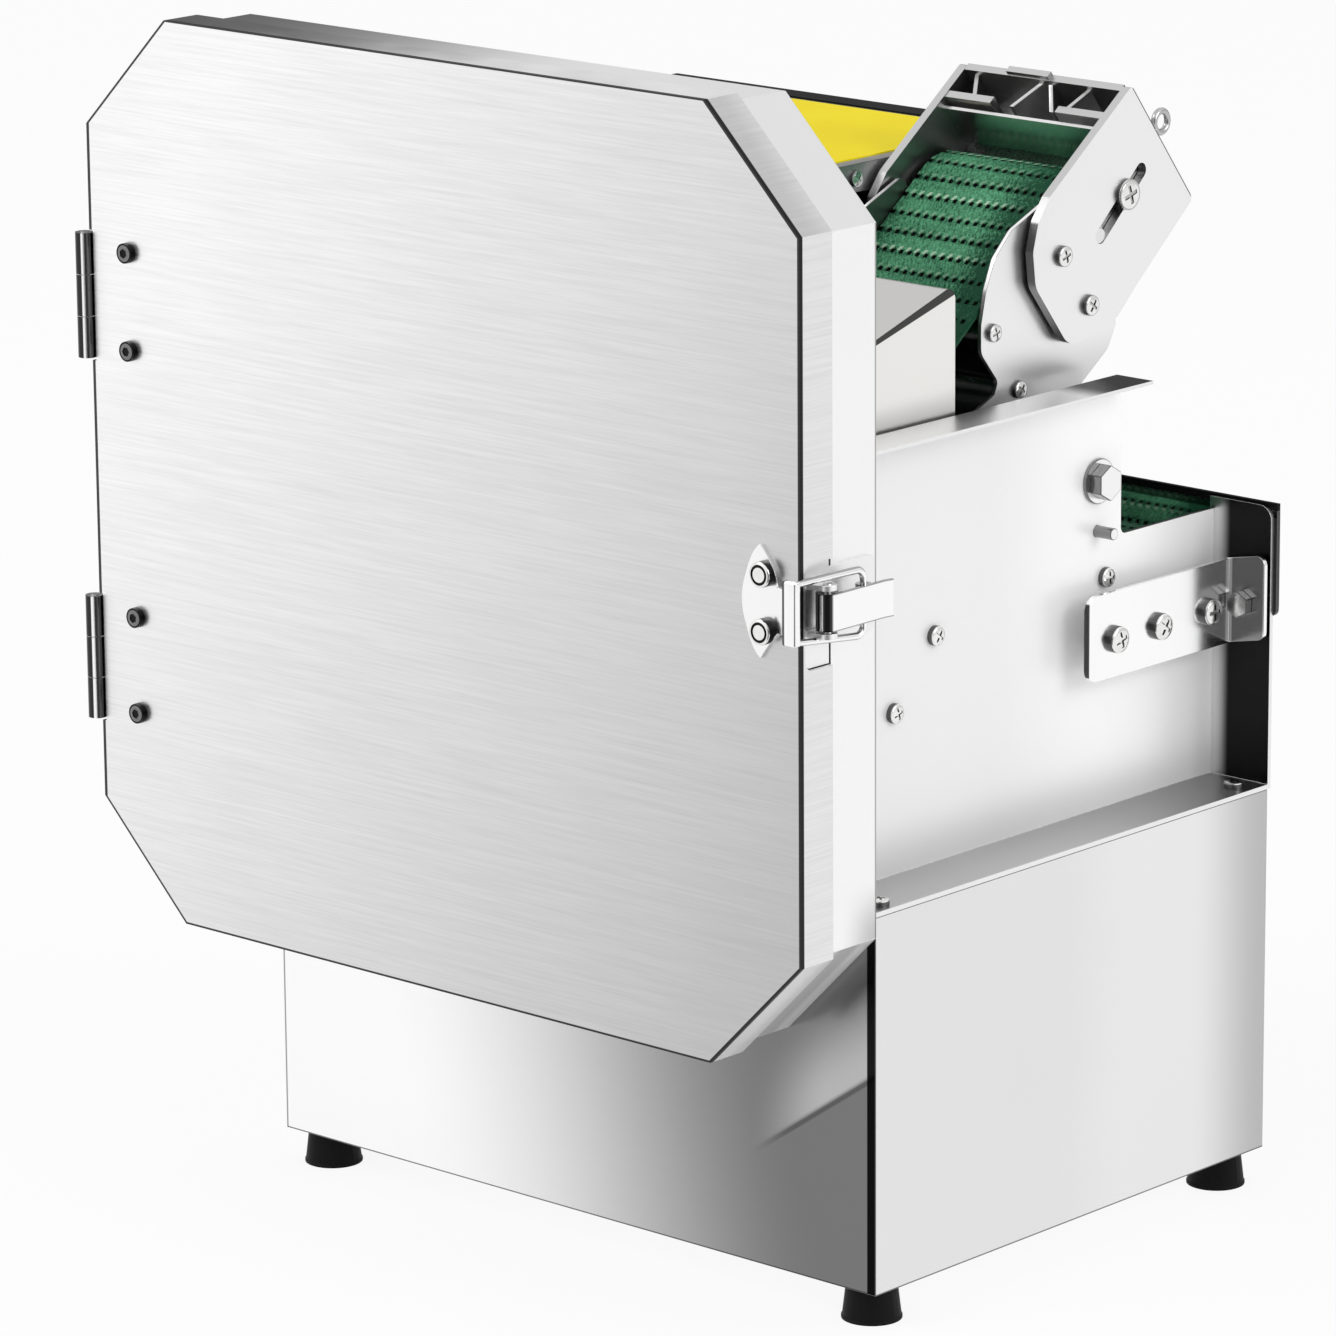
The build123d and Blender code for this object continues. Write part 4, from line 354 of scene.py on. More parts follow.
def panel_shade(finish, x, y, z):
    """Painted reflection: the flanges are dark, as if they mirrored the dark side of the room, and the web
    takes a little of it at its foot and is lighter towards the back.
    """
    nx, ny, nz = finish.facing()
    up = finish.rise(nz, *NEARLY)
    forward = finish.rise(-ny, *NEARLY) * finish.rise(y, 0.1, 0.14)
    low = finish.fall(z, 0.2, 0.3)
    top = (1 - low) * (1.15 - 1.12 * finish.rise(y, 0.045, 0.062))
    bottom = low * (0.66 - 0.24 * finish.rise(y, -0.02, 0.12))
    rear = 0.95 - 0.93 * finish.rise(x, 0.163, 0.1705)
    web = on_web(finish, x)
    foot = 1 - 0.2 * finish.fall(z - PANEL_LOW.z, 2.1 * MM, 28.6 * MM) * web
    foot = foot + 0.16 * finish.rise(y, 0.0, 0.085) * web
    flat = foot * (1 - up) + (top + bottom) * up
    return flat * (1 - forward) + rear * forward


def fold_line(node):
    """Top edge of a hood's right side: its height at y = 0, and its slope."""
    points = [vert.co for vert in NODES[node].data.vertices]
    right = max(point.x for point in points)
    side = [point for point in points if point.x > right - 0.2 * MM]
    first, last = min(point.y for point in side), max(point.y for point in side)
    front = max(point.z for point in side if point.y < first + 1 * MM)
    back = max(point.z for point in side if point.y > last - 1 * MM)
    slope = (back - front) / (last - first)
    return front - slope * first, slope


def hood_shade(finish, x, y, z):
    """Painted shade: a darker top and foot, and a dark line where the side is folded over."""
    nx, ny, nz = finish.facing()
    height, slope = fold_line("inlet_hood")
    top = finish.rise(nz, *NEARLY)
    foot = 1 - 0.35 * finish.fall(z - PANEL_HIGH.z, -1.5 * MM, 12.5 * MM)
    bend = finish.band(nx, 0.35, 0.75, 0.08) * finish.rise(nz, 0.3, 0.45)
    under = finish.fall(y * slope - z + height, 0.4 * MM, 0.7 * MM) * finish.rise(nx, 0.95, 0.985)
    return (0.68 * top + foot * (1 - top)) * (1 - 0.93 * finish.larger(bend, under))


def head_shade(finish, x, y, z):
    """Painted shade: the outside bright, edges, down-facing and back faces and the cheeks' upper end darker,
    and dark shade between the cheeks.
    """
    nx, ny, nz = finish.facing()
    aside = abs(x - CHANNEL_MID)
    along = (y - PIVOT_Y) * SLOPE_COS + (z - PIVOT_Z) * SLOPE_SIN
    inside = finish.fall(aside, 40.5 * MM, 40.9 * MM)
    edge = finish.rise(nz * SLOPE_COS - ny * SLOPE_SIN, 0.6, 0.8)
    sides = finish.rise(abs(nx), *NEARLY)
    inner_face = finish.fall(aside, 41.3 * MM, 41.5 * MM) * sides
    dark = finish.larger(inside, inner_face * 1.5) * (1 - edge)
    end = finish.rise(along, 118.9 * MM, 119.1 * MM) * sides
    down = finish.rise(-ny * SLOPE_COS - nz * SLOPE_SIN, *TILTED) * (1 - sides)
    tone = (1 - 0.38 * edge * (1 - sides) - 0.85 * end) * (1 - 0.7 * down * (1 - inside))
    tone = tone * (1 - 0.15 * finish.rise(ny, *TILTED))
    return tone * (1 - dark * 0.42)


def inner_plate_shade(finish, x, y, z):
    """Painted reflection and shade: a darker foot, where the plate would mirror the flange, and dark inner
    faces.
    """
    foot = 1 - 0.22 * finish.fall(z - PANEL_HIGH.z, 0.5 * MM, 18.5 * MM)
    inner = finish.fall(abs(x - CHANNEL_MID), 37.8 * MM, 38 * MM)
    return foot * (1 - 0.75 * inner)


def latch_shade(finish, x, y, z):
    """Painted light: a bright strap with darker margins, whose rolled eye is dark with one painted gleam."""
    nx, ny, nz = finish.facing()
    rolled = finish.fall(nx, *SQUARE) * finish.fall(y - LEVER_FRONT, 8.7 * MM, 9.5 * MM)
    gleam = finish.band(nx, 0.1, 0.25, 0.12)
    margin = finish.rise(abs(z - LATCH_Z), 6.8 * MM, 7.1 * MM)
    return (1 - rolled * (0.95 - 0.8 * gleam)) * (1 - 0.6 * margin)


def bail_shade(finish, x, y, z):
    """Painted shade: the bar's left side is dark, and the wire has grey flanks."""
    nx, ny, nz = finish.facing()
    bar = finish.fall(y - BAR_LOW.y, 3.5 * MM, 4 * MM)
    left = bar * finish.fall(x - BAR_LOW.x, 1.4 * MM, 1.8 * MM)
    flank = (1 - bar) * finish.rise(abs(nz), 0.45, 0.8)
    return 1 - 0.9 * left - 0.62 * flank


def hinge_shade(finish, x, y, z):
    """Painted reflection: the barrel is dark on its left, as if it mirrored the dark of the room, and grey on
    its right. The leaf is plain.
    """
    nx, ny, nz = finish.facing()
    leaf = finish.rise(y - HINGE_BACK, 0, 1 * MM)
    turn = (nx * 0.74 + ny * 0.67) * (1 - leaf) - 0.2 * leaf
    left = finish.fall(turn, -0.38, -0.3)
    right = finish.rise(turn, 0.0, 0.08)
    return (1 - 0.96 * left) * (1 - 0.86 * right)


def bracket_shade(finish, x, y, z):
    """Painted shade: a dark left end; the turned-up end is grey, with a bright fold."""
    nx, ny, nz = finish.facing()
    left = finish.fall(y - BRACKET_LOW.y, 0.9 * MM, 1.3 * MM)
    end = finish.rise(-ny, *NEARLY) * finish.rise(y, 0.1, 0.14)
    end = end * finish.band(x, BRACKET_LOW.x + 3.8 * MM, BRACKET_HIGH.x - 1 * MM, 0.4 * MM)
    return (1 - 0.93 * left) * (1 - 0.62 * end)


def bolt_shade(finish, x, y, z):
    """Painted shade: end faces bright, flanks grey. The tension bolt is bright all over."""
    nx, ny, nz = finish.facing()
    return finish.larger(0.3 + 0.7 * finish.rise(nx, 0.75, 0.95), finish.rise(y, 0.12, 0.13))


def guard_shade(finish, x, y, z):
    """Painted shade: a dark end, and a dark band along the top of the inner face."""
    nx, ny, nz = finish.facing()
    end = finish.fall(GUARD_HIGH.x - x, 4 * MM, 4.5 * MM)
    band = finish.fall(GUARD_HIGH.z - z, 2.8 * MM, 3.8 * MM) * finish.rise(-ny, 0.8, 0.95)
    return (1 - 0.88 * end) * (1 - 0.8 * band)


def plated(name, colour, roughness):
    finish = Finish(name, Metallic=1.0)
    haze = finish.speckle(300.0)
    finish.feed("Base Color", finish.blend(haze, scaled(colour, 0.85), scaled(colour, 1.1)))
    finish.feed("Roughness", (haze - 0.5) * 0.2 + roughness)
    return finish.material


# Other finishes

def rubber(name):
    finish = Finish(name, Specular_IOR_Level=0.07)
    grit = finish.speckle(900.0, 4.0)
    dust = finish.speckle(40.0)
    finish.feed("Base Color", finish.blend(dust, grey(0.004), grey(0.012)))
    finish.feed("Roughness", (grit - 0.5) * 0.3 + 0.5)
    finish.bump(grit, 0.1 * MM, 0.35)
    return finish.material


def casting(name, colour):
    finish = Finish(name)
    sand = finish.speckle(700.0, 5.0)
    patches = finish.speckle(60.0)
    finish.feed("Base Color", finish.blend(patches, scaled(colour, 0.8), scaled(colour, 1.15)))
    finish.feed("Roughness", (sand - 0.5) * 0.3 + 0.5)
    finish.bump(sand, 0.4 * MM, 0.5)
    return finish.material


def turned(name, colour):
    finish = Finish(name, Metallic=1.0)
    x, y, z = finish.place()
    marks = finish.noise(finish.vector(x * 1800, y * 60, z * 60), 3.0)
    oil = finish.speckle(90.0)
    finish.feed("Base Color", finish.blend(oil, scaled(colour, 0.7), scaled(colour, 1.15)))
    finish.feed("Roughness", (marks - 0.5) * 0.2 + 0.32)
    finish.bump(marks, 0.05 * MM, 0.5)
    return finish.material


def moulded(name, colour, roughness):
    finish = Finish(name)
    pores = finish.speckle(1500.0, 3.0)
    patches = finish.speckle(50.0)
    finish.feed("Base Color", finish.blend(patches, scaled(colour, 0.85), scaled(colour, 1.12)))
    finish.feed("Roughness", (pores - 0.5) * 0.2 + roughness)
    finish.bump(pores, 0.06 * MM, 0.5)
    return finish.material


def yellow_film(name):
    finish = Finish(name, Specular_IOR_Level=0.1)
    x, y, z = finish.place()
    clouds = finish.speckle(25.0)
    scuffs = finish.noise(finish.vector(x * 700, y * 60, z * 60), 4.0)
    colour = finish.blend(clouds, (0.9, 0.7, 0.004), (0.97, 0.83, 0.012))
    finish.feed("Base Color", finish.blend(finish.rise(scuffs, 0.62, 0.75) * 0.2, colour, (0.98, 0.9, 0.2)))
    finish.feed("Roughness", (scuffs - 0.5) * 0.2 + 0.45)
    finish.bump(clouds, 0.3 * MM, 0.3)
    return finish.material


def belt_weave(name, row, column):
    """Green belt: bright stitches above each row of holes, whose gleam is a painted highlight, and slanting
    threads between the rows.
    """
    finish = Finish(name, Specular_IOR_Level=0.1)
    s, t, _ = finish.surface()
    threads = finish.noise(finish.vector(s * 420 + t * 800, t * 420 - s * 200, 0.0), 2.0, 0.6)
    weave = finish.noise(finish.vector(s * 1100, t * 1100, 0.0), 2.0, 0.6)
    patches = finish.noise(finish.vector(s * 60, t * 40, 0.0))
    phase = finish.math("FRACT", s * (1 / row))
    third = finish.math("FRACT", s * (1 / (3 * row)))
    bright_row = finish.fall(third, 0.3, 0.36)
    slant = finish.math("FRACT", t * (1 / column) - phase * 0.8 + 0.2)
    stitch = finish.band(phase, 0.2, 0.36, 0.06) * finish.band(slant, 0.25, 0.6, 0.12)
    trough = 1 - finish.band(phase, 0.3, 0.85, 0.2)
    # Painted shade: darker towards both edges, on the right side and at the lower end.
    edges = finish.rise(abs(t), 22 * MM, 39 * MM)
    shade = finish.rise(t, 6 * MM, 32 * MM) * 0.62 + finish.fall(s, 10 * MM, 80 * MM) * 0.4
    light = (threads - 0.5) * 1.6 + (weave - 0.5) * 1.3 + (patches - 0.5) * 0.8 + 0.42
    light = light + bright_row * 0.14 - trough * 0.2 - edges * 0.15 - shade
    light = finish.smaller(finish.larger(light, 0.015), 1.0)
    ground = finish.blend(light, (0.006, 0.062, 0.028), (0.15, 0.5, 0.27))
    gleam = stitch * (0.3 + 0.55 * bright_row) * (1 - 0.6 * edges) * finish.larger(1 - shade * 1.7, 0.05)
    finish.feed("Base Color", finish.blend(gleam, ground, (0.5, 0.68, 0.5)))
    finish.feed("Roughness", (weave - 0.5) * 0.3 + 0.6)
    finish.bump(threads + weave, 0.5 * MM, 0.8)
    return finish.material


FINISHES = {
    "stainless": steel("stainless_sheet", 0.78, mottle=0.05),
    "bright_fasteners": plated("plated_steel", (0.86, 0.86, 0.85), 0.18),
    "dark_fasteners": plated("blackened_steel", (0.015, 0.015, 0.016), 0.3),
    "black_rubber": rubber("black_rubber"),
    "grey_cast": casting("grey_casting", (0.2, 0.205, 0.21)),
    "machined_steel": turned("turned_steel", (0.55, 0.55, 0.56)),
    "grey_paint": casting("grey_paint", (0.16, 0.17, 0.18)),
    "green_belt": moulded("belt_green", (0.02, 0.16, 0.08), 0.5),
    "yellow_plate": yellow_film("yellow_film"),
    "black_plastic": moulded("black_plastic", (0.012, 0.012, 0.013), 0.4),
    "green_plastic": moulded("green_plastic", (0.02, 0.3, 0.06), 0.3),
    "red_plastic": moulded("red_plastic", (0.5, 0.015, 0.012), 0.3),
}
SHEETS = {
    "door_pan": steel("brushed_door", 1.0, 0.32, grain=0.086, mottle=0.01, shade=door_shade,
                      milky=low_corner_haze),
    "knife_housing": steel("satin_housing", 0.94, 0.36, mottle=0.02, shade=housing_shade,
                           milky=low_corner_haze),
    "base_box": steel("polished_base", 0.78, 0.22, mottle=0.02, shade=base_shade),
    "right_side_panel": steel("satin_side_panel", 0.86, 0.34, mottle=0.02, shade=panel_shade,
                              milky=web_haze),
    "inlet_hood": steel("satin_hood", 0.86, 0.32, mottle=0.02, shade=hood_shade, tint=WARM_WHITE),
    "press_head": steel("satin_head", 0.88, 0.32, mottle=0.02, shade=head_shade),
    "press_side_plates": steel("satin_side_plates", 0.88, 0.32, mottle=0.02, shade=inner_plate_shade),
    "latch_lever": steel("polished_latch", 0.95, 0.15, shade=latch_shade),
    "latch_bail": steel("polished_wire", 0.95, 0.12, shade=bail_shade),
    "latch_catch": steel("polished_catch", 0.93, 0.2),
    "latch_base": steel("satin_latch_base", 0.9, 0.35),
    "tension_bracket": steel("polished_bracket", 0.97, 0.18, shade=bracket_shade),
    "rear_guard": steel("polished_guard", 0.66, 0.07, shade=guard_shade),
    "channel_wall": steel("polished_channel", 0.26, 0.06),
    "door_hinge_leaves": steel("hinge_barrel", 0.95, 0.2, shade=hinge_shade),
    "frame_hinge_leaves": steel("hinge_knuckle", 0.93, 0.2, shade=hinge_shade),
    # The drive box's cover and lid are darker copies of the stainless sheet: painted shade.
    "drive_box_cover": steel("satin_drive_box", 0.4, 0.4),
    "drive_box_lid": steel("satin_lid", 0.42, 0.4),
    "panel_hardware": steel("plated_bolts", 0.92, 0.2, shade=bolt_shade),
    "press_fasteners": plated("press_bolts", grey(0.5), 0.25),
}
# Finishes that paint light: the fold finishes paint shade or a highlight along broken edges, and the recess,
# skirt and hole finishes paint shadow in screw recesses, on head skirts and in belt holes.
SHADOW_EDGE = plated("fold_shadow", grey(0.03), 0.35)
SHADED_EDGE = plated("fold_painted_shade", grey(0.16), 0.35)
HIGHLIGHT_EDGE = plated("fold_painted_highlight", (0.93, 0.93, 0.92), 0.25)
RECESS = plated("recess_shadow", grey(0.02), 0.45)
SKIRT = plated("skirt_shadow", grey(0.12), 0.3)
BELT_HOLE = moulded("hole_shadow", (0.001, 0.012, 0.006), 0.8)

# A head's finishes: its crown, then its recess and its skirt, which take painted shadow. The blackened heads'
# crown is a lighter copy of blackened steel: a painted highlight.
BRIGHT = [FINISHES["bright_fasteners"], RECESS, SKIRT]
BOLTS = [FINISHES["bright_fasteners"], RECESS, SHADOW_EDGE]
BLACKENED = [plated("blackened_crown_highlight", grey(0.2), 0.3), RECESS, FINISHES["dark_fasteners"]]


def finish_of(node):
    return SHEETS.get(node) or FINISHES[SLOT_OF[node]]


for node, thing in NODES.items():
    thing.data.materials.clear()
    thing.data.materials.append(finish_of(node))


# Making pieces

def add_piece(name, bm, body, finishes):
    mesh = bpy.data.meshes.new(name)
    bm.to_mesh(mesh)
    bm.free()
    piece = bpy.data.objects.new(name, mesh)
    bpy.context.scene.collection.objects.link(piece)
    for finish in finishes:
        mesh.materials.append(finish)
    mesh.shade_smooth()
    mesh.set_sharp_from_angle(angle=math.radians(35))
    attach(piece, body)
    return piece


def cut(bm, normal, distance):
    """Cut edges into all faces along a plane, which stands this far from the origin."""
    geometry = bm.verts[:] + bm.edges[:] + bm.faces[:]
    point = [part * distance for part in normal]
    bmesh.ops.bisect_plane(bm, geom=geometry, dist=MERGE / 10, plane_co=point, plane_no=normal)


def shorten_strap(bm):
    """The strap's free end stops short of the housing's edge."""
    end = [vert for vert in bm.verts if vert.co.y > -110 * MM]
    bmesh.ops.translate(bm, vec=(0, -11 * MM, 0), verts=end)


def point_catch(bm):
    """The catch's tips lean back towards the hinges, so its outline is a lens."""
    straight, tip, lean = 8 * MM, 14.6 * MM, 5 * MM
    for step in range(8):
        for side in (-1, 1):
            cut(bm, UP, CATCH_Z + side * (9 + 1.8 * step) * MM)
    for vert in bm.verts:
        reach = min(max((abs(vert.co.z - CATCH_Z) - straight) / tip, 0.0), 1.0)
        vert.co.x -= lean * reach ** 2


def thin_trim(bm):
    """The lid's rear trim lies almost flush with the plate."""
    for vert in bm.verts:
        if vert.co.z > 420 * MM:
            vert.co.z = min(vert.co.z, 436.8 * MM)
            vert.co.y = max(vert.co.y, 141 * MM)


def lower_bolts(bm):
    """The catch's bolts have low heads, a little inwards and up."""
    for vert in bm.verts:
        vert.co += Vector((1.4, 0, 1.2)) * MM
        vert.co.y = max(vert.co.y, -152.4 * MM)


RESHAPED = {"latch_lever": shorten_strap, "latch_catch": point_catch, "edge_trims": thin_trim,
            "catch_bolts": lower_bolts}


def softened(node, width, edge):
    """A copy of a CAD node with its edges broken. It stands for the node."""
    bm = bmesh.new()
    bm.from_mesh(NODES[node].data)
    bmesh.ops.remove_doubles(bm, verts=bm.verts, dist=MERGE)
    if node in RESHAPED:
        RESHAPED[node](bm)
    bmesh.ops.dissolve_limit(bm, angle_limit=math.radians(0.5), verts=bm.verts, edges=bm.edges)
    finishes = [finish_of(node)]
    if edge:
        finishes.append(edge)
    piece = add_piece(node + "_dressed", bm, BODY_OF[node], finishes)
    bevel = piece.modifiers.new("edges", "BEVEL")
    bevel.width = width
    bevel.segments = 2
    bevel.limit_method = "ANGLE"
    bevel.angle_limit = math.radians(35)
    bevel.harden_normals = True
    bevel.material = 1 if edge else -1
    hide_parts(node)


# Width of each sheet's broken edges in millimetres, and their finish where they have one of their own, which
# paints a dark line of shade or a highlight along the edge
EDGES = {
    "door_pan": (0.3, None),
    "knife_housing": (0.3, None),
    "edge_trims": (0.15, None),
    "catch_bolts": (0.15, None),
    "base_box": (0.3, SHADED_EDGE),
    "right_side_panel": (0.25, HIGHLIGHT_EDGE),
    "inlet_hood": (1.6, SHADOW_EDGE),
    "press_head": (0.25, None),
    "press_side_plates": (0.25, SHADED_EDGE),
    "tension_bracket": (0.3, None),
    "latch_catch": (0.25, HIGHLIGHT_EDGE),
    "latch_lever": (0.25, SHADED_EDGE),
    "latch_base": (0.2, None),
    "drive_box_lid": (0.3, SHADED_EDGE),
    "drive_box_cover": (0.3, SHADED_EDGE),
    "rear_guard": (0.2, SHADED_EDGE),
    "panel_hardware": (0.35, SHADED_EDGE),
}
for node, (width, edge) in EDGES.items():
    softened(node, width * MM, edge)


# Latch loop

WIRE_SIDES = 16


def bent_wire(bm, front, back, half, radius, bend):
    """Round wire at x = 0 that runs back at one height, is bent down twice and comes forward again."""
    ends = bmesh.ops.create_circle(bm, cap_ends=True, radius=radius, segments=WIRE_SIDES)["verts"]
    bmesh.ops.rotate(bm, verts=ends, cent=(0, 0, 0), matrix=Matrix.Rotation(math.radians(90), 3, "X"))
    bmesh.ops.translate(bm, verts=ends, vec=(0, front, half))

    def end_face():
        return [face for face in bm.faces if all(vert in ends for vert in face.verts)]

    def run(step):
        made = bmesh.ops.extrude_face_region(bm, geom=end_face())["geom"]
        verts = [part for part in made if isinstance(part, bmesh.types.BMVert)]
        bmesh.ops.translate(bm, verts=verts, vec=step)
        return verts

    def turn_down(height):
        made = bmesh.ops.spin(bm, geom=end_face(), cent=(0, back - bend, height), axis=RIGHT, dvec=(0, 0, 0),
                              angle=math.radians(-90), steps=6, use_duplicate=False)
        return [part for part in made["geom_last"] if isinstance(part, bmesh.types.BMVert)]

    ends = run((0, back - bend - front, 0))
    ends = turn_down(half - bend)
    ends = run((0, 0, -2 * (half - bend)))
    ends = turn_down(bend - half)
    run((0, front + bend - back, 0))


def rounded_bar(bm, size, place):
    bar = bmesh.ops.create_cube(bm, size=1)["verts"]
    bmesh.ops.scale(bm, verts=bar, vec=size)
    bmesh.ops.translate(bm, verts=bar, vec=place)
    edges = list({edge for vert in bar for edge in vert.link_edges})
    bmesh.ops.bevel(bm, geom=edges, offset=1 * MM, segments=4, profile=0.5, affect="EDGES", material=-1)


def latch_loop():
    """Flat bar with a wire loop behind it, its corners bent round the lever's roll."""
    front, back = -153 * MM, -118 * MM
    loop_x, lean_x, narrowing, lift = 201 * MM, 3.5 * MM, 0.13, 1.2 * MM
    bm = bmesh.new()
    bent_wire(bm, front, back, half=13.2 * MM, radius=1.5 * MM, bend=4 * MM)
    lean = Matrix.Rotation(math.atan2(-lean_x, back - front), 3, "Z")
    bmesh.ops.rotate(bm, verts=bm.verts, cent=(0, back, 0), matrix=lean)
    bmesh.ops.translate(bm, verts=bm.verts, vec=(loop_x, 0, LATCH_Z))
    rounded_bar(bm, BAR_SIZE, BAR_MIDDLE)
    inner = [face for face in bm.faces if len(face.verts) == WIRE_SIDES]
    bmesh.ops.delete(bm, geom=inner, context="FACES_ONLY")
    rims = [edge for edge in bm.edges if edge.is_boundary]
    bmesh.ops.holes_fill(bm, edges=rims, sides=0)
    bmesh.ops.remove_doubles(bm, verts=bm.verts, dist=MERGE)
    bmesh.ops.recalc_face_normals(bm, faces=bm.faces)
    for vert in bm.verts:
        share = min(max((back - vert.co.y) / (back - front), 0.0), 1.0)
        vert.co.z = LATCH_Z + (vert.co.z - LATCH_Z) * (1 - narrowing * share) + lift * share
    piece = add_piece("latch_bail_dressed", bm, "bail", [SHEETS["latch_bail"]])
    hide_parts("latch_bail")


latch_loop()


# Screw heads

def lathe(profile, steps):
    """Closed turned shape round Z from a few (radius, height) points, the first and last on the axis."""
    bm = bmesh.new()
    rim = [bm.verts.new((radius, 0, height)) for radius, height in profile]
    for first, second in zip(rim, rim[1:]):
        bm.edges.new((first, second))
    bmesh.ops.spin(bm, geom=bm.verts[:] + bm.edges[:], cent=(0, 0, 0), axis=UP, dvec=(0, 0, 0),
                   angle=2 * math.pi, steps=steps, use_merge=True, use_duplicate=False)
    bmesh.ops.remove_doubles(bm, verts=bm.verts, dist=MERGE)
    bmesh.ops.recalc_face_normals(bm, faces=bm.faces)
    return bm


def sink(bm, faces, depth, taper=1.0):
    """Press the given faces of a head down to one level, with the second finish on what goes down."""
    sides = bmesh.ops.extrude_face_region(bm, geom=faces)["geom"]
    bmesh.ops.delete(bm, geom=faces, context="FACES")
    floor = [part for part in sides if isinstance(part, bmesh.types.BMVert)]
    level = min(vert.co.z for vert in floor) - depth
    for vert in floor:
        vert.co = (vert.co.x * taper, vert.co.y * taper, level)
    for vert in floor:
        for face in vert.link_faces:
            face.material_index = 1


def shadow_skirt(bm):
    """The upright side of a head takes its third finish."""
    for face in bm.faces:
        if abs(face.normal.z) < 0.35:
            face.material_index = 2


def domed(radius, skirt, crown):
    """Points of a pan head: a skirt, a rounded shoulder and a low crown."""
    points = [(0, 0), (radius, 0), (radius, skirt)]
    for turn in (25, 50, 72):
        angle = math.radians(turn)
        points.append((radius * (0.72 + 0.28 * math.cos(angle)), skirt + crown * 0.75 * math.sin(angle)))
    points.append((radius * 0.4, skirt + crown * 0.95))
    points.append((0, skirt + crown))
    return points


def cross_head(radius, skirt, crown):
    """Pan head with a cross slot."""
    bm = lathe(domed(radius, skirt, crown), 24)
    arm, half = radius * 0.62, radius * 0.14
    for normal in ((1, 0, 0), (0, 1, 0)):
        for distance in (-arm, -half, half, arm):
            cut(bm, normal, distance)
    inside = []
    for face in bm.faces:
        spot = face.calc_center_median()
        along, beside = max(abs(spot.x), abs(spot.y)), min(abs(spot.x), abs(spot.y))
        if spot.z > skirt and along < arm and beside < half:
            inside.append(face)
    shadow_skirt(bm)
    sink(bm, inside, crown * 0.9, 0.8)
    return bm


def socket_head(radius, skirt, crown):
    """Button head with a hexagon socket."""
    bm = lathe(domed(radius, skirt, crown), 24)
    reach = radius * 0.42
    flats = [Vector((math.cos(math.pi * index / 3), math.sin(math.pi * index / 3), 0)) for index in range(3)]
    for flat in flats:
        cut(bm, flat, reach)
        cut(bm, flat, -reach)
    inside = []
    for face in bm.faces:
        spot = face.calc_center_median()
        if spot.z > skirt and max(abs(spot.dot(flat)) for flat in flats) < reach:
            inside.append(face)
    shadow_skirt(bm)
    sink(bm, inside, crown * 1.4)
    return bm


def ringed_head(radius, skirt, crown):
    """Round bolt head with a ring cut into its face."""
    top, trough = skirt + crown, skirt + crown * 0.4
    bm = lathe([(0, 0), (radius, 0), (radius, skirt), (radius * 0.96, skirt + crown * 0.6),
                (radius * 0.88, top), (radius * 0.8, top), (radius * 0.76, trough),
                (radius * 0.62, trough), (radius * 0.58, top), (0, top)], 32)
    shadow_skirt(bm)
    for face in bm.faces:
        spot = face.calc_center_median()
        if skirt < spot.z < skirt + crown * 0.8 and math.hypot(spot.x, spot.y) < radius * 0.8:
            face.material_index = 1
    return bm


def metres(*sizes):
    return [size * MM for size in sizes]


def fixed_heads(name, head, places, direction, body, finishes):
    """Copies of a head at the given places, turned a little differently each."""
    whole = bmesh.new()
    turn = Vector(UP).rotation_difference(Vector(direction)).to_matrix().to_4x4()
    for index, place in enumerate(places):
        mesh = bpy.data.meshes.new("head")
        head.to_mesh(mesh)
        spin = Matrix.Rotation(math.radians(17 + 37 * index), 4, "Z")
        mesh.transform(Matrix.Translation(place) @ turn @ spin)
        whole.from_mesh(mesh)
        bpy.data.meshes.remove(mesh)
    head.free()
    add_piece(name, whole, body, finishes)


HINGE_HEIGHTS = (222.5, 377)
LID_SCREWS = (-60, 38, 134)

# Name, size of the head (radius, skirt and crown), direction and places, in millimetres
FRAME_SCREWS = (
    ("web_screw_heads", (4.1, 1.9, 1.2), RIGHT, [(161.4, -54, 240), (161.4, -29, 267), (161.4, 79, 271)]),
    ("bracket_screw_heads", (5.6, 2.2, 1.4), RIGHT, [(173, y, 248) for y in (72, 100.6, 133.4)]),
    ("flange_screw_heads", (4.1, 1.7, 1.2), UP, [(183, 138.5, 173.4), (185, -90, 173.4)]),
    ("lid_screw_heads", (3.3, 1.2, 0.9), RIGHT, [(62.4, y, 430) for y in LID_SCREWS]),
    ("lid_left_screw_heads", (3.3, 1.2, 0.9), LEFT, [(-141, y, 430) for y in LID_SCREWS]),
    ("leaf_screw_heads", (3.3, 1.0, 0.9), LEFT,
     [(-193.4, -113, z + side) for z in HINGE_HEIGHTS for side in (-16, 16)]),
)
for name, size, direction, places in FRAME_SCREWS:
    head = cross_head(*metres(*size))
    fixed_heads(name, head, [Vector(place) * MM for place in places], direction, "frame", BRIGHT)

for label, side, direction in (("right", 1, RIGHT), ("left", -1, LEFT)):
    ties = [on_slope(along, across, side * 39.5) for along, across in ((0.3, 86.1), (-2.7, 56.0))]
    cheeks = [on_slope(along, across, side * 45) for along, across in ((45.7, 84.1), (45.4, 55.5))]
    clamp = [on_slope(90, 74.1, side * 45)]
    for name, size, places in (("tie_heads_" + label, (3.7, 1.2, 1.0), ties),
                               ("cheek_heads_" + label, (4.3, 1.4, 1.1), cheeks),
                               ("clamp_head_" + label, (6.4, 1.3, 1.2), clamp)):
        fixed_heads(name, cross_head(*metres(*size)), places, direction, "press_unit", BRIGHT)

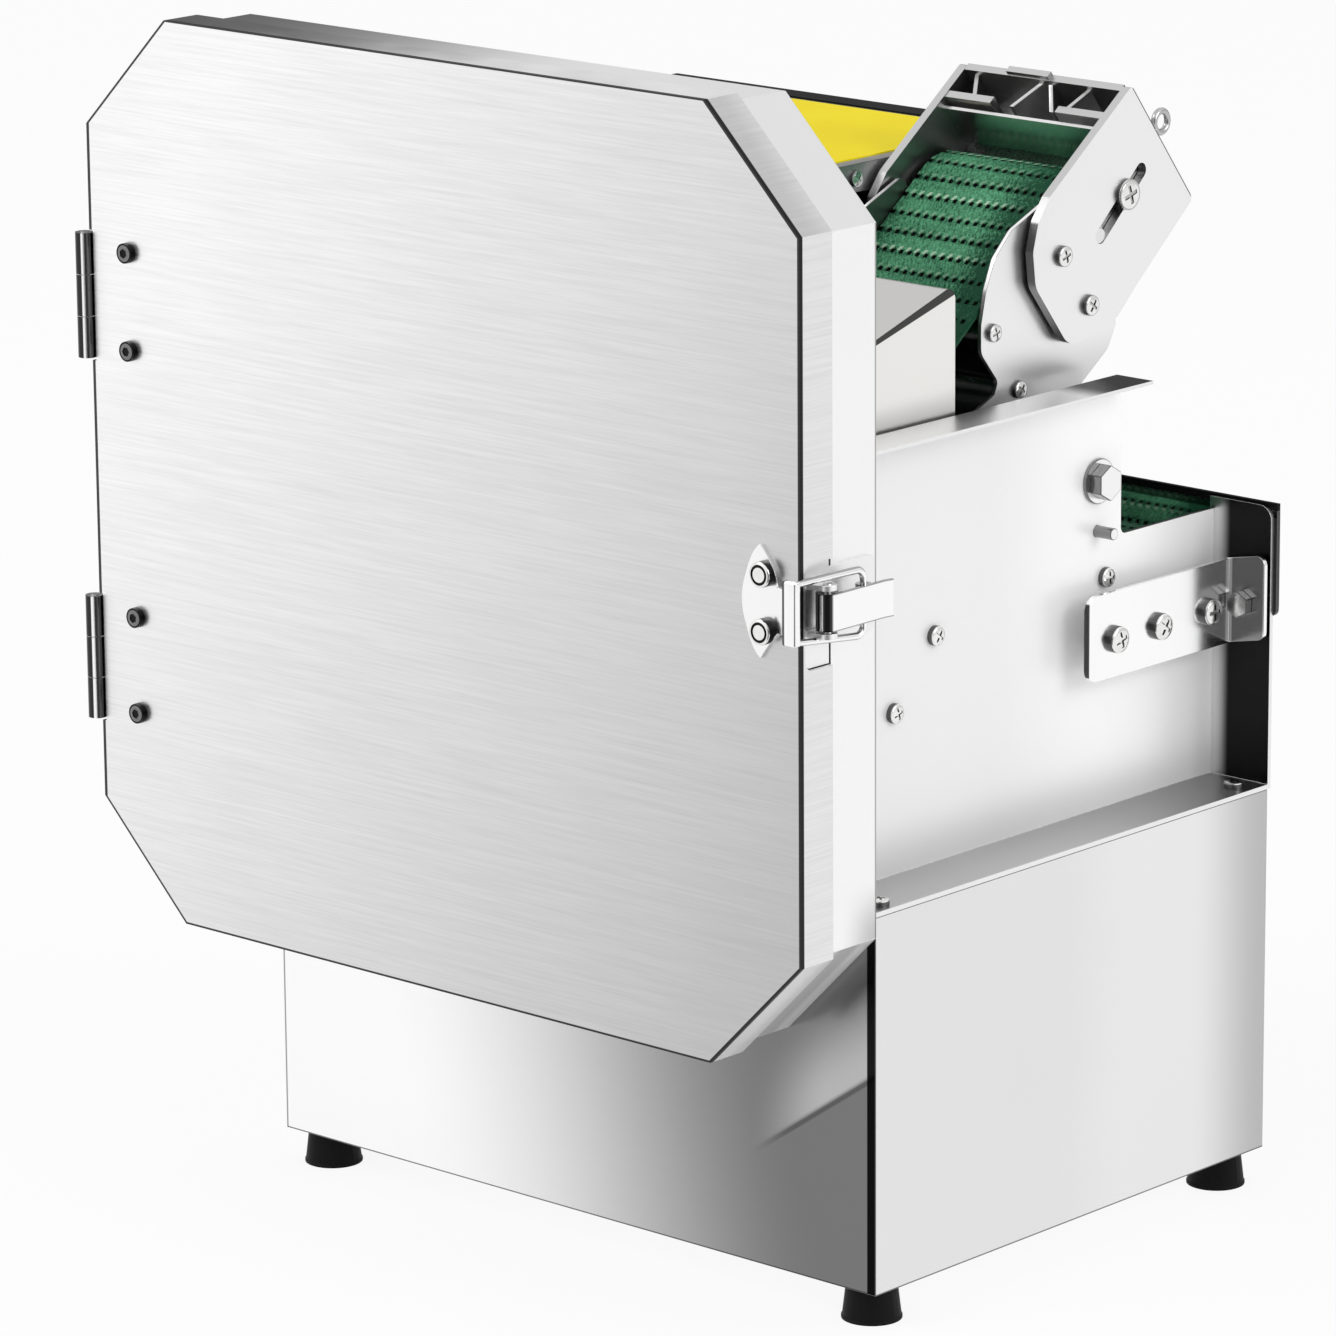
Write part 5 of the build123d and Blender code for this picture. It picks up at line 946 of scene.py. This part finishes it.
HINGE_PLACES = [Vector((-172, -148, z + side)) * MM for z in HINGE_HEIGHTS for side in (-20.6, 20.6)]
fixed_heads("hinge_screw_heads", socket_head(*metres(4.3, 1.6, 1.4)), HINGE_PLACES, FRONT, "door", BLACKENED)
CATCH_PLACES = [Vector((178.4, -149.6, z)) * MM for z in (317.1, 294.5)]
fixed_heads("catch_bolt_heads", ringed_head(*metres(5.1, 2.9, 0.7)), CATCH_PLACES, FRONT, "door", BOLTS)


# Belts

THICKNESS = 2 * MM
HOLE_ROW = 9.94 * MM
HOLE_DEPTH = 1.3 * MM
KNOT_MARGIN, KNOT_HEIGHT = 0.3 * MM, 0.35 * MM
ROLLER_GAP = 0.3 * MM
PRESS_AXES = [on_slope(along, 72.5, 0)[1:] for along in (-96, 68)]
FEED_AXES = ((-64 * MM, 252 * MM), (119 * MM, 252 * MM))


def run_round(distance, height, radius, span):
    """Point of a belt that runs round two rollers: how far along, and how high off its centre line."""
    arc = math.pi * radius
    if distance < span:
        return distance, radius + height
    distance -= span
    if distance < arc:
        turn = distance / radius
        return span + (radius + height) * math.sin(turn), (radius + height) * math.cos(turn)
    distance -= arc
    if distance < span:
        return span - distance, -radius - height
    turn = (distance - span) / radius
    return -(radius + height) * math.sin(turn), -(radius + height) * math.cos(turn)


def punched_sheet(length, width, rows, columns):
    """Flat belt. Along every second strip of cells each row has a hole and, next to it, a raised knot."""
    cells_per_row = 5
    cells = rows * cells_per_row
    step_s, step_t = length / cells, width / (2 * columns)
    bm = bmesh.new()
    bmesh.ops.create_grid(bm, x_segments=cells, y_segments=2 * columns, size=0.5)
    bmesh.ops.scale(bm, vec=(length, width, 1), verts=bm.verts)
    sheet = bm.loops.layers.uv.new("sheet")
    holes, knots = [], []
    for face in bm.faces:
        for corner in face.loops:
            corner[sheet].uv = (corner.vert.co.x + length / 2, corner.vert.co.y)
        spot = face.calc_center_median()
        if int((spot.y + width / 2) / step_t) % 2 == 0:
            cell = int((spot.x + length / 2) / step_s) % cells_per_row
            if cell == 0:
                holes.append(face)
            elif cell == 1:
                knots.append(face)
    bmesh.ops.inset_individual(bm, faces=knots, thickness=KNOT_MARGIN, depth=0)
    for face in holes:
        face.material_index = 1
    pits = bmesh.ops.extrude_discrete_faces(bm, faces=holes)["faces"]
    bmesh.ops.delete(bm, geom=[face for face in holes if face.is_valid and face not in pits], context="FACES")
    for face in pits:
        face.material_index = 1
        for vert in face.verts:
            vert.co.z -= HOLE_DEPTH
    for face in knots:
        for vert in face.verts:
            vert.co.z += KNOT_HEIGHT
    back = bmesh.ops.create_grid(bm, x_segments=cells, y_segments=1, size=0.5)["verts"]
    bmesh.ops.scale(bm, vec=(length, width, 1), verts=back)
    bmesh.ops.translate(bm, vec=(0, 0, -THICKNESS), verts=back)
    bmesh.ops.reverse_faces(bm, faces=list({face for vert in back for face in vert.link_faces}))
    return bm


def woven_belt(node, axes, roller, width, columns):
    """Punched belt, laid out flat and then wrapped round its two rollers."""
    (u0, v0), (u1, v1) = axes
    span = math.hypot(u1 - u0, v1 - v0)
    outer = roller + ROLLER_GAP + THICKNESS
    length = 2 * span + 2 * math.pi * outer
    rows = round(length / HOLE_ROW)
    bm = punched_sheet(length, width, rows, columns)
    lean = math.atan2(v1 - v0, u1 - u0)
    for vert in bm.verts:
        along, off = run_round(vert.co.x + length / 2, vert.co.z, outer, span)
        vert.co = (CHANNEL_MID + vert.co.y, u0 + along * math.cos(lean) - off * math.sin(lean),
                   v0 + along * math.sin(lean) + off * math.cos(lean))
    near = 0.01 * MM
    bmesh.ops.remove_doubles(bm, verts=bm.verts, dist=near)
    for side in (-1, 1):
        rim = [edge for edge in bm.edges if edge.is_boundary and
               all(abs(vert.co.x - CHANNEL_MID - side * width / 2) < near for vert in edge.verts)]
        bmesh.ops.bridge_loops(bm, edges=rim)
    bmesh.ops.recalc_face_normals(bm, faces=bm.faces)
    finish = belt_weave(node + "_weave", length / rows, width / columns)
    piece = add_piece(node + "_woven", bm, BODY_OF[node], [finish, BELT_HOLE])
    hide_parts(node)


woven_belt("press_belt", PRESS_AXES, roller=23 * MM, width=74 * MM, columns=17)
woven_belt("feed_belt", FEED_AXES, roller=28 * MM, width=86 * MM, columns=20)


# Apron under the press head's guard

def guard_apron():
    """Bent lip that goes down behind the upper press roller."""
    width, height, centre, bend, lean, behind = 82, 30, 70, 66, 0.25, 97.9
    bm = bmesh.new()
    bmesh.ops.create_grid(bm, x_segments=2, y_segments=4, size=0.5)
    bmesh.ops.scale(bm, vec=(width, height, 1), verts=bm.verts)
    for vert in bm.verts:
        across = centre + vert.co.y
        along = behind + max(0.0, bend - across) * lean
        vert.co = on_slope(along, across, vert.co.x)
    bmesh.ops.solidify(bm, geom=bm.faces, thickness=1 * MM)
    bmesh.ops.recalc_face_normals(bm, faces=bm.faces)
    add_piece("guard_apron", bm, "press_unit", [steel("satin_apron", 0.7, 0.28)])


guard_apron()


# Camera, floor and light

def set_camera():
    place, focal_length = (1.9158, -2.1135, 0.9524), 190.35
    azimuth, elevation, roll = (math.radians(angle) for angle in (42.31, 14.38, -0.441))
    ahead = Vector((-math.sin(azimuth) * math.cos(elevation), math.cos(azimuth) * math.cos(elevation),
                    -math.sin(elevation)))
    right = Vector((math.cos(azimuth), math.sin(azimuth), 0))
    up = right.cross(ahead)
    side = right * math.cos(roll) + up * math.sin(roll)
    top = up * math.cos(roll) - right * math.sin(roll)
    lens = bpy.data.cameras.new("camera")
    lens.lens = focal_length
    lens.sensor_width = 36
    lens.clip_start = 0.05
    lens.clip_end = 100
    camera = bpy.data.objects.new("camera", lens)
    bpy.context.scene.collection.objects.link(camera)
    turn = Matrix((side, top, -ahead)).transposed().to_4x4()
    camera.matrix_world = Matrix.Translation(place) @ turn
    bpy.context.scene.camera = camera


# The dark corner of the room lies behind the camera. Metal mirrors it, and nothing else shows it.
DARK_X, DARK_Y = 0.673, -0.740


def lay_floor():
    """White floor that keeps the machine's shadow; metal sees its far corner in the dark."""
    bm = bmesh.new()
    bmesh.ops.create_grid(bm, x_segments=8, y_segments=8, size=12)
    mesh = bpy.data.meshes.new("floor")
    bm.to_mesh(mesh)
    bm.free()
    floor = bpy.data.objects.new("floor", mesh)
    bpy.context.scene.collection.objects.link(floor)
    finish = Finish("floor_white", Roughness=0.9)
    finish.feed("Base Color", finish.blend(finish.speckle(0.8), grey(0.88), grey(0.9)))
    x, y, z = finish.place()
    reach = finish.math("SQRT", x * x + y * y)
    towards = (x * DARK_X + y * DARK_Y) / (reach + 0.001)
    dark = finish.rise(towards, 0.86, 0.96) * finish.rise(reach, 0.35, 0.6)
    path = finish.node("ShaderNodeLightPath").outputs
    camera, glossy = Value(finish, path["Is Camera Ray"]), Value(finish, path["Is Glossy Ray"])
    seen = finish.blend(0.9 * dark * glossy, WHITE, BLACK)
    glow = finish.node("ShaderNodeEmission", None, {"Color": seen, "Strength": 1.0})
    mix = finish.node("ShaderNodeMixShader", None, {0: finish.larger(camera, glossy) * 0.88})
    finish.join(mix.inputs[1], finish.shader.outputs[0])
    finish.join(mix.inputs[2], glow.outputs[0])
    finish.join(finish.tree.nodes["Material Output"].inputs["Surface"], mix.outputs[0])
    mesh.materials.append(finish.material)


class Room(Finish):
    """The world's own nodes, with the same shader maths as a finish."""

    def __init__(self, world):
        world.use_nodes = True
        self.tree = world.node_tree
        self.shader = self.tree.nodes["Background"]


def set_world():
    """White room. Metal sees it go dark towards the horizon, but not on the camera's left."""
    world = bpy.data.worlds.new("studio")
    bpy.context.scene.world = world
    room = Room(world)
    x, y, z = room.split(room.node("ShaderNodeTexCoord").outputs["Generated"])
    towards = x * DARK_X + y * DARK_Y
    rightwards = y * DARK_X - x * DARK_Y
    low = room.fall(z, 0.26, 0.5)
    dark = low * (0.3 + 0.6 * room.rise(abs(towards), 0.6, 0.95)) * room.rise(rightwards, -0.6, -0.2)
    path = room.node("ShaderNodeLightPath").outputs
    camera, glossy = Value(room, path["Is Camera Ray"]), Value(room, path["Is Glossy Ray"])
    seen = room.larger(camera, glossy)
    strength = seen * (1 - dark * glossy) + (1 - seen) * 0.72
    room.feed("Color", room.blend(strength, BLACK, WHITE))
    room.feed("Strength", 1.0)


def lamp(name, place, side, power):
    """Square lamp that shines on the machine's middle."""
    light = bpy.data.lights.new(name, "AREA")
    light.shape = "RECTANGLE"
    light.size = light.size_y = side
    light.energy = power
    thing = bpy.data.objects.new(name, light)
    bpy.context.scene.collection.objects.link(thing)
    thing.location = place
    thing.rotation_euler = (Vector((0, 0, 0.25)) - Vector(place)).to_track_quat("-Z", "Y").to_euler()


set_camera()
lay_floor()
set_world()
lamp("key", (-1.6, -2.6, 2.8), 2.2, 44)
lamp("side", (2.8, 0.6, 1.6), 1.6, 26)
bpy.context.scene.view_settings.view_transform = "Standard"
